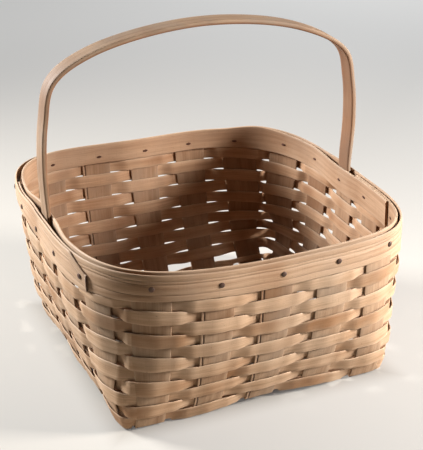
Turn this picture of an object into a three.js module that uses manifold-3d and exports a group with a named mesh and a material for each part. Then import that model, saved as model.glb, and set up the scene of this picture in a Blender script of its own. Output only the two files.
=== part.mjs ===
// Square cake basket of woven wood splint, with a fixed bentwood handle.
// Millimetres, +Z up. The origin is on the floor under the middle of the basket.
// The front wall faces -Y and the handle spans from the left wall (-X) to the right wall (+X).

import * as THREE from 'three';
import { mergeVertices } from 'three/addons/utils/BufferGeometryUtils.js';
import Module from 'manifold-3d';

const wasm = await Module();
wasm.setup();

// Overall sizes, taken over the outer hoop
const rimWidth = 304.8;
const rimDepth = 316.8;
const rimHeight = 156.2;
const baseWidth = 249.4;
const baseDepth = 249.6;

// Wall: it bows outwards from the base and is upright at flareHeight
const flareHeight = 131;
// Plan of the rim: a rounded square, where a larger exponent makes a squarer corner
const powerFrontRight = 4.9;
const powerBackRight = 2.6;
const powerBackLeft = 4.6;
const powerFrontLeft = 3.6;
// The corners grow square towards the base
const basePower = 22;
const powerFade = 5;

// Hoops
const hoopHeight = 24.2;
const hoopThickness = 2.2;
const innerHoopStandsUp = 1.8;
// Along the back the hoops are narrower: their upper edges dip between two directions
const backDip = 5;
const backDipStart = 0.76;
const backDipEnd = 2.95;
const backDipFade = 0.3;
// The rim is hand bent: it dips at the middle of each side and leans a little
const rimDip = 1.6;
const rimLeanX = -1.4;
const rimLeanY = 1.3;
// The outer hoop laps itself along the left wall and the inner one on the right wall.
// Each room is the distance from the rim's corner to an end of the hoop.
const outerLapRoomBack = 63.4;
const outerLapRoomFront = 60.4;
const innerLapRoomFront = 63.4;
// How far short of the handle's right foot the inner hoop's second end stops
const innerLapBeforeFoot = 12.5;
// A hoop lies flat on its own end for lapFlat, and comes back to the wall over lapRise
const lapFlat = 18;
const lapRise = 60;
// The outer hoop's last end is cut to a slope, from its full height down by endCutDepth
const endCutLength = 22;
const endCutDepth = 13;
// The outer hoop is wider round the front left corner, where its lower edge sags.
// sagMiddle is the direction angle of the lowest place and sagReach the angle to its ends.
const hoopSag = 4.8;
const sagMiddle = 3.58;
const sagReach = 0.56;
// The inner hoop bulges round the handle's feet
const footBulgeClear = 3;
const footBulgeFall = 50;

// Splints that make the base and turn up as uprights
const splintsEachWay = 5;
const splintWidthAtBase = 26.5;
const splintWidthAtRim = 30.5;
const splintThickness = 1.4;
const splintTopBelowRim = 3;
// Room from the outermost splint's edge to the end of its wall
const cornerRoomAtBase = 7.9;
const cornerRoomAtRimX = 33.5;
const cornerRoomAtRimY = 39.5;
const bendRadius = 1.5;
// The base is domed by baseRise and stands on corner feet, each footRoom wide, but
// leftFootRoom wide along X on the left. The dome's top stands domeMiddleX to the right,
// and the base has settled flat along its back edge, down from the dome over settleLength.
const baseRise = 5;
const footRoom = 38.7;
const leftFootRoom = 58.7;
const domePower = 2;
const domeMiddleX = 20;
const settleLength = 22;

// Weavers
const weaverRows = 11;
const bottomRowHeight = 9.2;
const topRowBelowHoop = 5.2;
const weaverThickness = 1.1;
const rowGap = 0.4;
const cornerRowGap = 1.2;
const floatExtra = 2.6;
const floatBulge = 0.9;
const cornerLift = 3.2;
const rowTiltRise = 1.8;
const backRowDrop = 2.2;
// The bottom weaver is narrow and hangs loose: the room left above it
const bottomRowSlack = 1.5;
const bottomRowSlackAtBack = 5.7;

// Handle
const handleWidth = 18.7;
const handleThickness = 3.5;
const crownHeight = 318.2;
const handleFootAboveHoopEdge = 2;
const handleStraightAboveRim = 4;
const leftFootY = 9.1;
const rightFootY = -4.1;
// Points on the handle's bend, from each foot up. Each is a share of the half span inwards
// from the foot, and a share of the way up from the rim to the crown.
const leftBendShares = [[-0.004, 0.305], [0.022, 0.554], [0.084, 0.766], [0.337, 0.908]];
const rightBendShares = [[-0.022, 0.305], [-0.01, 0.554], [0.044, 0.74], [0.362, 0.91]];

// Tacks
const tackShankRadius = 0.8;
const tackHeadRadius = 2.4;
const tackHeadHeight = 1.1;
const tackClinchRadius = 1.3;
const tackClinchHeight = 0.6;
const tackSides = 6;
const holeOvershoot = 4;

// Room left between pieces that lie on each other
const seatGap = 0.3;
const weaveGap = 0.5;

// Where the uprights stand on each wall, as small shifts from an even spacing.
// Each list runs with the axis, from the low end of X or Y to the high end.
const strayAtBase = [0, 0, -1, 0, 1];
const strayAtRim = {
  front: [1, 3, 5, 6, 1],
  right: [1, 0, 1, -2, -9],
  back: [3, -1, -1, -5, -11],
  left: [1, 2, 2, 0, 1],
};
// Where each tack stands on its upright, from the middle of it
const tackStray = {
  front: [0, 2, 4, 3, 9],
  right: [0, 3, -2, 2, 1],
  back: [0, 3, 1, 0, 0],
  left: [12.5, 11.9, 13.5, 12.5, 3],
};
// How far the tacks of each wall stand below the middle of the hoop
const tackDrop = { front: 0, right: 0, back: 4.6, left: 4 };

// Values worked out from the sizes above
const hoopOffset = splintThickness / 2 + seatGap + hoopThickness / 2;
const wallHalfX = rimWidth / 2 - hoopOffset - hoopThickness / 2;
const wallHalfY = rimDepth / 2 - hoopOffset - hoopThickness / 2;
const lapStep = hoopThickness + seatGap;
const hoopBottom = rimHeight - hoopHeight;
const crossingOffset = (splintThickness + weaverThickness) / 2 + weaveGap;
const floatOffset = crossingOffset + floatBulge;
const topRowHeight = hoopBottom - topRowBelowHoop;
const rowPitch = (topRowHeight - bottomRowHeight) / (weaverRows - 1);
const layerStep = (splintThickness + seatGap) / 2;
const baseMiddle = splintThickness / 2 + layerStep;
const handleBulge = handleThickness + seatGap;
const outerLapStart = rimDepth / 2 - outerLapRoomBack;
const outerLapEnd = outerLapRoomFront - rimDepth / 2;
const innerLapStart = innerLapRoomFront - rimDepth / 2;
const innerLapEnd = rightFootY - handleWidth / 2 - innerLapBeforeFoot;
const middleSplint = (splintsEachWay - 1) / 2;
const quarterTurn = Math.PI / 2;
const fullTurn = 2 * Math.PI;

// Walls in the order that a weaver passes them, anticlockwise seen from above
const walls = [
  { name: 'front', alongX: true, side: -1, direction: 1 },
  { name: 'right', alongX: false, side: 1, direction: 1 },
  { name: 'back', alongX: true, side: 1, direction: -1 },
  { name: 'left', alongX: false, side: -1, direction: -1 },
];

const leftWall = walls[3];
const rightWall = walls[1];

// Runs from 0 to 1 with a level start and end
function smooth(value) {
  const t = Math.min(Math.max(value, 0), 1);
  return t * t * (3 - 2 * t);
}

// Half width of the wall's middle surface along X and Y at a height
function wallHalf(z) {
  const up = 1 - Math.min(Math.max(z, 0) / flareHeight, 1);
  const flare = 1 - up * up;
  return [
    baseWidth / 2 + (wallHalfX - baseWidth / 2) * flare,
    baseDepth / 2 + (wallHalfY - baseDepth / 2) * flare,
  ];
}

// Exponent of the rounded square in the quarter that a direction points to
function squareness(dx, dy, z) {
  const front = dx < 0 ? powerFrontLeft : powerFrontRight;
  const back = dx < 0 ? powerBackLeft : powerBackRight;
  const down = 1 - Math.min(Math.max(z, 0) / flareHeight, 1);
  return (dy < 0 ? front : back) + basePower * Math.pow(down, powerFade);
}

// Point on the wall in the direction angle, at a height, pushed outwards by offset
function wallPoint(angle, z, offset) {
  const c = Math.cos(angle);
  const s = Math.sin(angle);
  const [halfX, halfY] = wallHalf(z);
  const n = squareness(c, s, z);
  const r = Math.pow(Math.pow(Math.abs(c), n) + Math.pow(Math.abs(s), n), -1 / n);
  const normal = wallNormal(angle, z);
  return new THREE.Vector3(halfX * r * c, halfY * r * s, z).addScaledVector(normal, offset);
}

// Level direction square to the wall in the direction angle
function wallNormal(angle, z) {
  const c = Math.cos(angle);
  const s = Math.sin(angle);
  const [halfX, halfY] = wallHalf(z);
  const n = squareness(c, s, z);
  const nx = Math.sign(c) * Math.pow(Math.abs(c), n - 1) / halfX;
  const ny = Math.sign(s) * Math.pow(Math.abs(s), n - 1) / halfY;
  return new THREE.Vector3(nx, ny, 0).normalize();
}

// Direction angle of the place that lies u along a wall, from the wall's middle
function angleOnWall(wall, u, z) {
  const [halfX, halfY] = wallHalf(z);
  const share = u / (wall.alongX ? halfX : halfY);
  const n = wall.alongX ? squareness(share, wall.side, z) : squareness(wall.side, share, z);
  const across = wall.side * Math.pow(1 - Math.pow(Math.min(Math.abs(share), 0.999), n), 1 / n);
  const angle = wall.alongX ? Math.atan2(across, share) : Math.atan2(share, across);
  const start = -1.5 * quarterTurn;
  return angle < start ? angle + fullTurn : angle;
}

// How far the rim's edge lies above its mean height in the direction angle
function rimShape(angle) {
  const place = wallPoint(angle, rimHeight, 0);
  const lean = rimLeanX * place.x / wallHalfX + rimLeanY * place.y / wallHalfY;
  return lean - rimDip * Math.cos(4 * angle);
}

// Lift of the base's underside: nothing at the feet and at the back, baseRise at the middle
function baseLift(x, y) {
  const right = (x - domeMiddleX) / (baseWidth / 2 - footRoom - domeMiddleX);
  const left = (domeMiddleX - x) / (baseWidth / 2 - leftFootRoom + domeMiddleX);
  const reachY = baseDepth / 2 - footRoom;
  const footX = Math.pow(Math.min(Math.max(right, left), 1), domePower);
  const footY = Math.pow(Math.min(Math.abs(y) / reachY, 1), domePower);
  const settled = smooth(1 - (reachY - y) / settleLength);
  return baseRise * (1 - footX * footY) * (1 - settled);
}

// How far the upper edges of hoops and uprights dip along the back
function dip(angle) {
  const turned = Math.atan2(Math.sin(angle), Math.cos(angle));
  const afterStart = smooth((turned - backDipStart) / backDipFade);
  const beforeEnd = smooth((backDipEnd - turned) / backDipFade);
  return backDip * afterStart * beforeEnd;
}

// How much a direction belongs to the back wall, from 0 to 1
function backShare(angle) {
  return smooth((Math.sin(angle) - 0.2) / 0.65);
}

// How far the outer hoop's lower edge sags in the direction angle
function sag(angle) {
  const turned = angle - sagMiddle;
  const apart = Math.abs(Math.atan2(Math.sin(turned), Math.cos(turned)));
  return hoopSag * (1 - smooth(apart / sagReach));
}

// Height of a weaver row in the direction angle: it follows the base below and the rim
// above. Half way up it rises at the front corners and to the right, and drops at the back.
function rowHeight(angle, z) {
  const share = z / hoopBottom;
  const place = wallPoint(angle, z, 0);
  const corner = (1 - Math.cos(4 * angle)) / 2;
  const back = backShare(angle);
  const rise = cornerLift * corner + rowTiltRise * place.x / wallHalfX;
  const bent = 4 * share * (1 - share) * (rise * (1 - back) - backRowDrop * back);
  return z + share * rimShape(angle) + (1 - share) * baseLift(place.x, place.y) + bent;
}

// Distance between the middles of neighbouring splints that stand along X or along Y.
// share is 0 at the base and 1 at the rim.
function splintPitch(alongX, share) {
  const base = alongX ? baseWidth : baseDepth;
  const rim = alongX ? rimWidth : rimDepth;
  const rimRoom = alongX ? cornerRoomAtRimX : cornerRoomAtRimY;
  const atBase = (base - splintWidthAtBase - 2 * cornerRoomAtBase) / (splintsEachWay - 1);
  const atRim = (rim - splintWidthAtRim - 2 * rimRoom) / (splintsEachWay - 1);
  return atBase + (atRim - atBase) * share;
}

// Middle and half width of upright number i of a wall, at a height
function uprightPlace(wall, i, z) {
  const share = Math.min(Math.max(z, 0) / rimHeight, 1);
  const stray = strayAtBase[i] + (strayAtRim[wall.name][i] - strayAtBase[i]) * share;
  const middle = (i - middleSplint) * splintPitch(wall.alongX, share) + stray;
  const width = splintWidthAtBase + (splintWidthAtRim - splintWidthAtBase) * share;
  return { middle, half: width / 2 };
}

// A closed solid from a strip: each station has points across the strip on its middle
// surface, and the direction in which its thickness is laid at each point
function stripSolid(stations, thickness, closed) {
  const across = stations[0].points.length;
  const positions = [];
  for (const station of stations) {
    for (const side of [0.5, -0.5]) {
      station.points.forEach((point, i) => {
        const laid = point.clone().addScaledVector(station.normals[i], side * thickness);
        positions.push(laid.x, laid.y, laid.z);
      });
    }
  }
  const index = [];
  const at = (i, side, j) => ((i % stations.length) * 2 + side) * across + j;
  const quad = (a, b, c, d) => index.push(a, b, c, a, c, d);
  const steps = closed ? stations.length : stations.length - 1;
  for (let i = 0; i < steps; i++) {
    for (let j = 0; j < across - 1; j++) {
      quad(at(i, 0, j), at(i + 1, 0, j), at(i + 1, 0, j + 1), at(i, 0, j + 1));
      quad(at(i, 1, j + 1), at(i + 1, 1, j + 1), at(i + 1, 1, j), at(i, 1, j));
    }
    quad(at(i, 1, 0), at(i + 1, 1, 0), at(i + 1, 0, 0), at(i, 0, 0));
    const last = across - 1;
    quad(at(i, 0, last), at(i + 1, 0, last), at(i + 1, 1, last), at(i, 1, last));
  }
  if (!closed) {
    const end = stations.length - 1;
    for (let j = 0; j < across - 1; j++) {
      quad(at(0, 1, j), at(0, 0, j), at(0, 0, j + 1), at(0, 1, j + 1));
      quad(at(end, 0, j), at(end, 1, j), at(end, 1, j + 1), at(end, 0, j + 1));
    }
  }
  const geometry = new THREE.BufferGeometry();
  geometry.setAttribute('position', new THREE.Float32BufferAttribute(positions, 3));
  geometry.setIndex(index);
  return facingOut(geometry);
}

// Turns every triangle round when the solid is inside out
function facingOut(geometry) {
  const position = geometry.getAttribute('position');
  const index = geometry.getIndex().array;
  const a = new THREE.Vector3();
  const b = new THREE.Vector3();
  const c = new THREE.Vector3();
  let volume = 0;
  for (let i = 0; i < index.length; i += 3) {
    a.fromBufferAttribute(position, index[i]);
    b.fromBufferAttribute(position, index[i + 1]);
    c.fromBufferAttribute(position, index[i + 2]);
    volume += a.dot(b.cross(c));
  }
  if (volume < 0) {
    for (let i = 0; i < index.length; i += 3) {
      [index[i], index[i + 1]] = [index[i + 1], index[i]];
    }
  }
  return geometry;
}

// Conversions between a geometry and a solid that can be cut
function toSolid(geometry) {
  const bare = geometry.clone();
  bare.deleteAttribute('normal');
  bare.deleteAttribute('uv');
  const merged = mergeVertices(bare, 0.0001);
  const vertProperties = Float32Array.from(merged.getAttribute('position').array);
  const triVerts = Uint32Array.from(merged.getIndex().array);
  return new wasm.Manifold(new wasm.Mesh({ numProp: 3, vertProperties, triVerts }));
}

function toGeometry(solid) {
  const mesh = solid.getMesh();
  const geometry = new THREE.BufferGeometry();
  geometry.setAttribute('position', new THREE.Float32BufferAttribute(mesh.vertProperties, 3));
  geometry.setIndex(Array.from(mesh.triVerts));
  return geometry;
}

// A piece with every tack hole that passes through it cut out
function drilled(geometry, holes) {
  let solid = toSolid(geometry);
  for (const hole of holes) {
    solid = solid.subtract(toSolid(hole));
  }
  return toGeometry(solid);
}

// Places round the wall that every ring is bent at: both edges and the middle of each
// upright, and three places round each corner. side is 1 on the uprights that an even
// row passes outside and -1 on the next ones, and goes from one to the other at a corner.
function ringPlaces() {
  const places = [];
  const cornerSteps = 4;
  for (let k = 0; k < 4 * splintsEachWay; k++) {
    const side = k % 2 === 0 ? 1 : -1;
    for (const place of [-1, 0, 1]) {
      const isMiddle = place === 0;
      places.push({ angleAt: (z) => uprightAngle(k, place, z), side, isMiddle, isCorner: false });
    }
    const isLastOnWall = (k + 1) % splintsEachWay === 0;
    for (let step = 1; isLastOnWall && step < cornerSteps; step++) {
      const share = step / cornerSteps;
      const angleAt = (z) => {
        const from = uprightAngle(k, 1, z);
        return from + (uprightAngle(k + 1, -1, z) - from) * share;
      };
      places.push({ angleAt, side: side * (1 - 2 * share), isMiddle: false, isCorner: true });
    }
  }
  return places;
}

// Direction angle of an edge (place -1 or 1) or the middle (0) of upright k of the ring
function uprightAngle(k, place, z) {
  const ring = 4 * splintsEachWay;
  const turns = Math.floor(k / ring);
  const inRing = k - turns * ring;
  const wall = walls[Math.floor(inRing / splintsEachWay)];
  const order = inRing % splintsEachWay;
  const i = wall.direction > 0 ? order : splintsEachWay - 1 - order;
  const upright = uprightPlace(wall, i, z);
  const u = upright.middle + wall.direction * place * upright.half;
  return angleOnWall(wall, u, z) + turns * fullTurn;
}

// One weaver: a closed ring that passes outside one upright and inside the next
function makeWeaver(row) {
  const isTop = row === 1;
  const isBottom = row === weaverRows;
  const level = topRowHeight - (row - 1) * rowPitch;
  const innerSeat = baseMiddle + layerStep + bendRadius + seatGap;
  const outerSeat = splintThickness / 2 + seatGap;
  const startsOutside = row % 2 === 0 ? 1 : -1;
  const stations = ringPlaces().map((ringPlace) => {
    const angle = ringPlace.angleAt(level);
    const offset = startsOutside * ringPlace.side * (ringPlace.isMiddle ? floatOffset : crossingOffset);
    const gap = (ringPlace.isCorner ? cornerRowGap : rowGap) - (ringPlace.isMiddle ? floatExtra : 0);
    const slack = bottomRowSlack + (bottomRowSlackAtBack - bottomRowSlack) * backShare(angle);
    const upperEdge = rowHeight(angle, level + rowPitch / 2) - gap / 2 - (isBottom ? slack : 0);
    const underHoop = hoopBottom + rimShape(angle) - sag(angle) - seatGap;
    const top = isTop ? underHoop : upperEdge;
    let bottom = rowHeight(angle, level - rowPitch / 2) + gap / 2;
    if (isBottom) {
      const place = wallPoint(angle, level, 0);
      const inward = 0.5 - offset / (2 * floatOffset);
      const seat = outerSeat + (innerSeat - outerSeat) * smooth(inward * 2);
      bottom = seat + baseLift(place.x, place.y);
    }
    const points = [bottom, top].map((z) => wallPoint(ringPlace.angleAt(z), z, offset));
    const normals = [bottom, top].map((z) => wallNormal(ringPlace.angleAt(z), z));
    return { points, normals };
  });
  return stripSolid(stations, weaverThickness, true);
}

// The part of a splint that stands against one wall, from the bend to its top end.
// Its stations lie closer together near the base, where the wall bends most.
function uprightStations(wall, i, lowest, columns) {
  const steps = 11;
  const crowding = 1.15;
  const stations = [];
  for (let step = 0; step <= steps; step++) {
    const points = [];
    const normals = [];
    const share = Math.pow(step / steps, crowding);
    for (const place of columns) {
      const topAngle = wallAngle(wall, i, place, rimHeight);
      const top = rimHeight + rimShape(topAngle) - dip(topAngle) - splintTopBelowRim;
      const low = lowest(wall, i, place);
      const z = low + (top - low) * share;
      const angle = wallAngle(wall, i, place, z);
      points.push(wallPoint(angle, z, 0));
      normals.push(wallNormal(angle, z));
    }
    stations.push({ points, normals });
  }
  return stations;
}

// Direction angle of a place across upright i of a wall, from -1 at its low edge to 1
function wallAngle(wall, i, place, z) {
  const upright = uprightPlace(wall, i, z);
  return angleOnWall(wall, upright.middle + place * upright.half, z);
}

// Height of a splint's middle surface in the base where it crosses splint j.
// The side-to-side splints lie under the others at the four corners, as the feet.
function layerHeight(alongX, i, j, x, y) {
  const isUpper = ((i + j) % 2 === 0) !== alongX;
  return baseMiddle + (isUpper ? layerStep : -layerStep) + baseLift(x, y);
}

// One splint: up the first wall from its top end, across the base, and up the opposite wall
function makeSplint(alongX, i) {
  const columns = [-1, 0, 1];
  const ends = walls.filter((wall) => wall.alongX !== alongX);
  const low = ends.find((wall) => wall.side < 0);
  const high = ends.find((wall) => wall.side > 0);
  const crossedWall = walls.find((wall) => wall.alongX === alongX);
  const base = uprightPlace(low, i, 0);
  const place = (along, lateral, z) => (alongX
    ? new THREE.Vector3(along, lateral, z)
    : new THREE.Vector3(lateral, along, z));

  // Height at which the splint leaves the base to bend up a wall
  const edgeLevel = (wall, lateral) => {
    const j = wall.side < 0 ? 0 : splintsEachWay - 1;
    const reach = wall.side * (wall.alongX ? baseDepth : baseWidth) / 2;
    const at = place(reach, lateral, 0);
    return layerHeight(alongX, i, j, at.x, at.y);
  };
  const lowest = (wall, index, column) => {
    const lateral = base.middle + column * base.half;
    return edgeLevel(wall, lateral) + bendRadius;
  };

  // The bend: two stations on a curve between the base and the wall
  const bend = (wall) => [1 / 3, 2 / 3].map((t) => {
    const points = [];
    const normals = [];
    for (const column of columns) {
      const lateral = base.middle + column * base.half;
      const level = edgeLevel(wall, lateral);
      const wallFoot = wallPoint(wallAngle(wall, i, column, level), level, 0);
      const reach = wall.alongX ? wallFoot.y : wallFoot.x;
      const corner = place(reach, lateral, level);
      const inner = place(reach - wall.side * bendRadius, lateral, level);
      const z = level + bendRadius;
      const angle = wallAngle(wall, i, column, z);
      const outer = wallPoint(angle, z, 0);
      const point = inner.multiplyScalar((1 - t) * (1 - t));
      point.addScaledVector(corner, 2 * t * (1 - t));
      point.addScaledVector(outer, t * t);
      const down = new THREE.Vector3(0, 0, -1).multiplyScalar(1 - t);
      points.push(point);
      normals.push(wallNormal(angle, z).multiplyScalar(t).add(down).normalize());
    }
    return { points, normals };
  });

  // The base: a station at both edges of each splint that is crossed
  const crossings = [];
  for (let j = 0; j < splintsEachWay; j++) {
    const crossed = uprightPlace(crossedWall, j, 0);
    for (const edge of [-1, 1]) {
      const along = crossed.middle + edge * crossed.half;
      const points = columns.map((column) => {
        const lateral = base.middle + column * base.half;
        const at = place(along, lateral, 0);
        return at.setZ(layerHeight(alongX, i, j, at.x, at.y));
      });
      const normals = points.map(() => new THREE.Vector3(0, 0, -1));
      crossings.push({ points, normals });
    }
  }

  const stations = [
    ...uprightStations(low, i, lowest, columns).reverse(),
    ...bend(low).reverse(),
    ...crossings,
    ...bend(high),
    ...uprightStations(high, i, lowest, columns),
  ];
  return stripSolid(stations, splintThickness, false);
}

// How far the outer hoop stands outwards from its place. Its last end lies over its first.
function outerHoopShift(angle) {
  const lapBegins = angleOnWall(leftWall, outerLapStart, rimHeight);
  const before = (lapBegins - angle) * wallHalfY;
  return lapStep * smooth((lapFlat + lapRise - before) / lapRise);
}

// Inward bulge of the inner hoop round one foot of the handle
function footBulge(angle, wall, footY) {
  const y = wallPoint(angle, rimHeight, 0).y;
  const onWall = Math.cos(angle) * wall.side > 0;
  const beyond = Math.abs(y - footY) - handleWidth / 2 - footBulgeClear;
  return onWall ? handleBulge * (1 - smooth(beyond / footBulgeFall)) : 0;
}

// How far the inner hoop stands inwards from its place. Its first end lies over its last.
function innerHoopShift(angle) {
  const lapEnds = angleOnWall(rightWall, innerLapEnd, rimHeight);
  const after = (angle - lapEnds) * wallHalfY;
  const lap = lapStep * (1 - smooth((after - lapFlat) / lapRise));
  const isLastPart = angle > fullTurn / 2;
  const left = footBulge(angle, leftWall, leftFootY);
  const right = footBulge(angle, rightWall, rightFootY);
  return isLastPart ? left : Math.max(lap, left, right);
}

// A hoop: a strip bent round the wall from one angle to another, past a full turn.
// It is bent at the same places as the wall, so that it lies on every upright.
function makeHoop(from, to, offsetAt, bottomAt, topAt) {
  const bends = ringPlaces().map((ringPlace) => ringPlace.angleAt(rimHeight));
  const turns = [-fullTurn, 0, fullTurn].flatMap((turn) => bends.map((angle) => angle + turn));
  const endClear = 3 / wallHalfY;
  const between = turns.filter((angle) => angle > from + endClear && angle < to - endClear);
  const stations = [from, ...between, to].map((angle) => ({
    points: [bottomAt(angle), topAt(angle)].map((z) => {
      const level = z + rimShape(angle);
      return wallPoint(angle, Math.max(level, flareHeight), offsetAt(angle)).setZ(level);
    }),
    normals: [0, 1].map(() => wallNormal(angle, rimHeight)),
  }));
  return stripSolid(stations, hoopThickness, false);
}

function makeOuterHoop() {
  const from = angleOnWall(leftWall, outerLapStart, rimHeight) - fullTurn;
  const to = angleOnWall(leftWall, outerLapEnd, rimHeight);
  const offsetAt = (angle) => hoopOffset + outerHoopShift(angle);
  const bottomAt = (angle) => hoopBottom - sag(angle);
  const topAt = (angle) => {
    const beforeEnd = (to - angle) * wallHalfY;
    return rimHeight - dip(angle) - endCutDepth * Math.max(1 - beforeEnd / endCutLength, 0);
  };
  return makeHoop(from, to, offsetAt, bottomAt, topAt);
}

function makeInnerHoop() {
  const from = angleOnWall(rightWall, innerLapStart, rimHeight);
  const to = angleOnWall(rightWall, innerLapEnd, rimHeight) + fullTurn;
  const offsetAt = (angle) => -hoopOffset - innerHoopShift(angle);
  const topAt = (angle) => rimHeight + innerHoopStandsUp - dip(angle);
  return makeHoop(from, to, offsetAt, () => hoopBottom, topAt);
}

// The handle's middle line: up from between the hoops, over the shoulders to the crown
function handlePath() {
  const footX = wallHalfX - splintThickness / 2 - seatGap - handleThickness / 2;
  const footZ = hoopBottom + handleFootAboveHoopEdge;
  const crown = crownHeight - handleThickness / 2;
  const rise = crown - rimHeight;
  const half = (side, bend) => [
    [side * footX, footZ],
    [side * footX, rimHeight + handleStraightAboveRim],
    ...bend.map(([inwards, up]) => [side * footX * (1 - inwards), rimHeight + rise * up]),
  ];
  const flat = [...half(-1, leftBendShares), [0, crown], ...half(1, rightBendShares).reverse()];
  const yAt = (x) => (leftFootY + rightFootY) / 2 + (rightFootY - leftFootY) * x / (2 * footX);
  const points = flat.map(([x, z]) => new THREE.Vector3(x, yAt(x), z));
  return new THREE.CatmullRomCurve3(points, false, 'centripetal');
}

function makeHandle() {
  const path = handlePath();
  const steps = 48;
  const level = new THREE.Vector3(0, 1, 0);
  const stations = [];
  for (let i = 0; i <= steps; i++) {
    const point = path.getPointAt(i / steps);
    const tangent = path.getTangentAt(i / steps).setY(0).normalize();
    const normal = new THREE.Vector3().crossVectors(tangent, level).normalize();
    const points = [-0.5, 0.5].map((s) => point.clone().addScaledVector(level, s * handleWidth));
    stations.push({ points, normals: [normal, normal] });
  }
  return stripSolid(stations, handleThickness, false);
}

// One tack for each upright, through the outer hoop, the upright and the inner hoop.
// It stands square to the flat between the upright's middle and one of its edges.
function tackPlaces() {
  const places = [];
  const outerEnd = angleOnWall(leftWall, outerLapEnd, rimHeight);
  const innerStart = angleOnWall(rightWall, innerLapStart, rimHeight);
  for (const wall of walls) {
    for (let i = 0; i < splintsEachWay; i++) {
      const stray = tackStray[wall.name][i];
      const share = Math.abs(stray) / uprightPlace(wall, i, rimHeight).half;
      const middle = wallAngle(wall, i, 0, rimHeight);
      const edge = wallAngle(wall, i, stray < 0 ? -1 : 1, rimHeight);
      const from = wallPoint(middle, rimHeight, 0);
      const to = wallPoint(edge, rimHeight, 0);
      const angle = middle + (edge - middle) * share;
      const outerAngle = angle > outerEnd ? angle - fullTurn : angle;
      const innerAngle = angle < innerStart ? angle + fullTurn : angle;
      const outside = hoopOffset + hoopThickness / 2 + outerHoopShift(outerAngle);
      const inside = -hoopOffset - hoopThickness / 2 - innerHoopShift(innerAngle);
      const height = rimHeight - hoopHeight / 2 - tackDrop[wall.name];
      const point = from.clone().lerp(to, share).setZ(height + rimShape(angle));
      const along = to.sub(from).setZ(0).normalize();
      const normal = new THREE.Vector3(along.y, -along.x, 0);
      if (normal.dot(wallNormal(angle, rimHeight)) < 0) normal.negate();
      places.push({ wall, i, point, normal, inside, outside });
    }
  }
  return places;
}

// Turns a shape made round +Z so that +Z points along a tack's direction
function alongTack(geometry, tack) {
  geometry.rotateX(quarterTurn);
  const turn = new THREE.Quaternion().setFromUnitVectors(new THREE.Vector3(0, -1, 0), tack.normal);
  geometry.applyQuaternion(turn);
  return geometry.translate(tack.point.x, tack.point.y, tack.point.z);
}

// Outline from the clinched point inside the basket to the domed head outside
function makeTack(tack) {
  const headSeat = tack.outside + seatGap;
  const clinchSeat = tack.inside - seatGap;
  const outline = [
    [0, clinchSeat - tackClinchHeight],
    [tackClinchRadius, clinchSeat - tackClinchHeight / 2],
    [tackClinchRadius, clinchSeat],
    [tackShankRadius, clinchSeat],
    [tackShankRadius, headSeat],
    [tackHeadRadius, headSeat],
    [0, headSeat + tackHeadHeight],
  ].map(([x, y]) => new THREE.Vector2(x, y));
  const lathe = new THREE.LatheGeometry(outline, tackSides).rotateX(quarterTurn);
  lathe.deleteAttribute('normal');
  lathe.deleteAttribute('uv');
  return alongTack(facingOut(mergeVertices(lathe, 0.0001)), tack);
}

function makeTackHole(tack) {
  const radius = tackShankRadius + seatGap;
  const length = tack.outside - tack.inside + 2 * holeOvershoot;
  const hole = new THREE.CylinderGeometry(radius, radius, length, tackSides);
  hole.translate(0, (tack.outside + tack.inside) / 2, 0).rotateX(quarterTurn);
  hole.deleteAttribute('normal');
  hole.deleteAttribute('uv');
  return alongTack(mergeVertices(hole, 0.0001), tack);
}

// Materials, in the weathered tan of old ash splint
const splintWood = new THREE.MeshStandardMaterial({ color: 0xb08a66, roughness: 0.75, metalness: 0 });
const weaverWood = new THREE.MeshStandardMaterial({ color: 0xb98f69, roughness: 0.72, metalness: 0 });
const hoopWood = new THREE.MeshStandardMaterial({ color: 0xb38a63, roughness: 0.65, metalness: 0 });
const handleWood = new THREE.MeshStandardMaterial({ color: 0x9c7653, roughness: 0.6, metalness: 0 });
const tackMetal = new THREE.MeshStandardMaterial({ color: 0x4a3b35, roughness: 0.55, metalness: 0.8 });

// The basket stands with the middle of its whole width over the origin
const basket = new THREE.Group();
basket.position.x = lapStep / 2;

function addPiece(name, geometry, material) {
  const piece = new THREE.Mesh(geometry, material);
  piece.name = name;
  basket.add(piece);
}

const tacks = tackPlaces();
const holes = tacks.map(makeTackHole);
const holesOfSplint = (alongX, i) => holes.filter((hole, k) => (
  tacks[k].i === i && tacks[k].wall.alongX !== alongX));
const holesOfFeet = holes.filter((hole, k) => tacks[k].i === middleSplint && !tacks[k].wall.alongX);

for (let i = 0; i < splintsEachWay; i++) {
  const splint = drilled(makeSplint(false, i), holesOfSplint(false, i));
  addPiece(`front_back_splint_${i + 1}`, splint, splintWood);
}
for (let i = 0; i < splintsEachWay; i++) {
  const splint = drilled(makeSplint(true, i), holesOfSplint(true, i));
  addPiece(`side_to_side_splint_${i + 1}`, splint, splintWood);
}
for (let row = 1; row <= weaverRows; row++) {
  addPiece(`weaver_row_${String(row).padStart(2, '0')}`, makeWeaver(row), weaverWood);
}
addPiece('outer_rim_hoop', drilled(makeOuterHoop(), holes), hoopWood);
addPiece('inner_rim_hoop', drilled(makeInnerHoop(), holes), hoopWood);
addPiece('handle', drilled(makeHandle(), holesOfFeet), handleWood);
tacks.forEach((tack) => {
  addPiece(`tack_${tack.wall.name}_${tack.i + 1}`, makeTack(tack), tackMetal);
});

export default basket;
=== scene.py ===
"""A square cake basket woven from wood splint, with two rim hoops and a bentwood handle.

Every strip is a surface worked out on a grid: its middle surface follows the basket's
wall, base or handle, and its thickness is laid on both sides of it. Lengths are in
millimetres until the mesh is made, which is in metres.
"""

import math

import bpy
import numpy as np
from mathutils import Matrix, Vector


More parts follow.
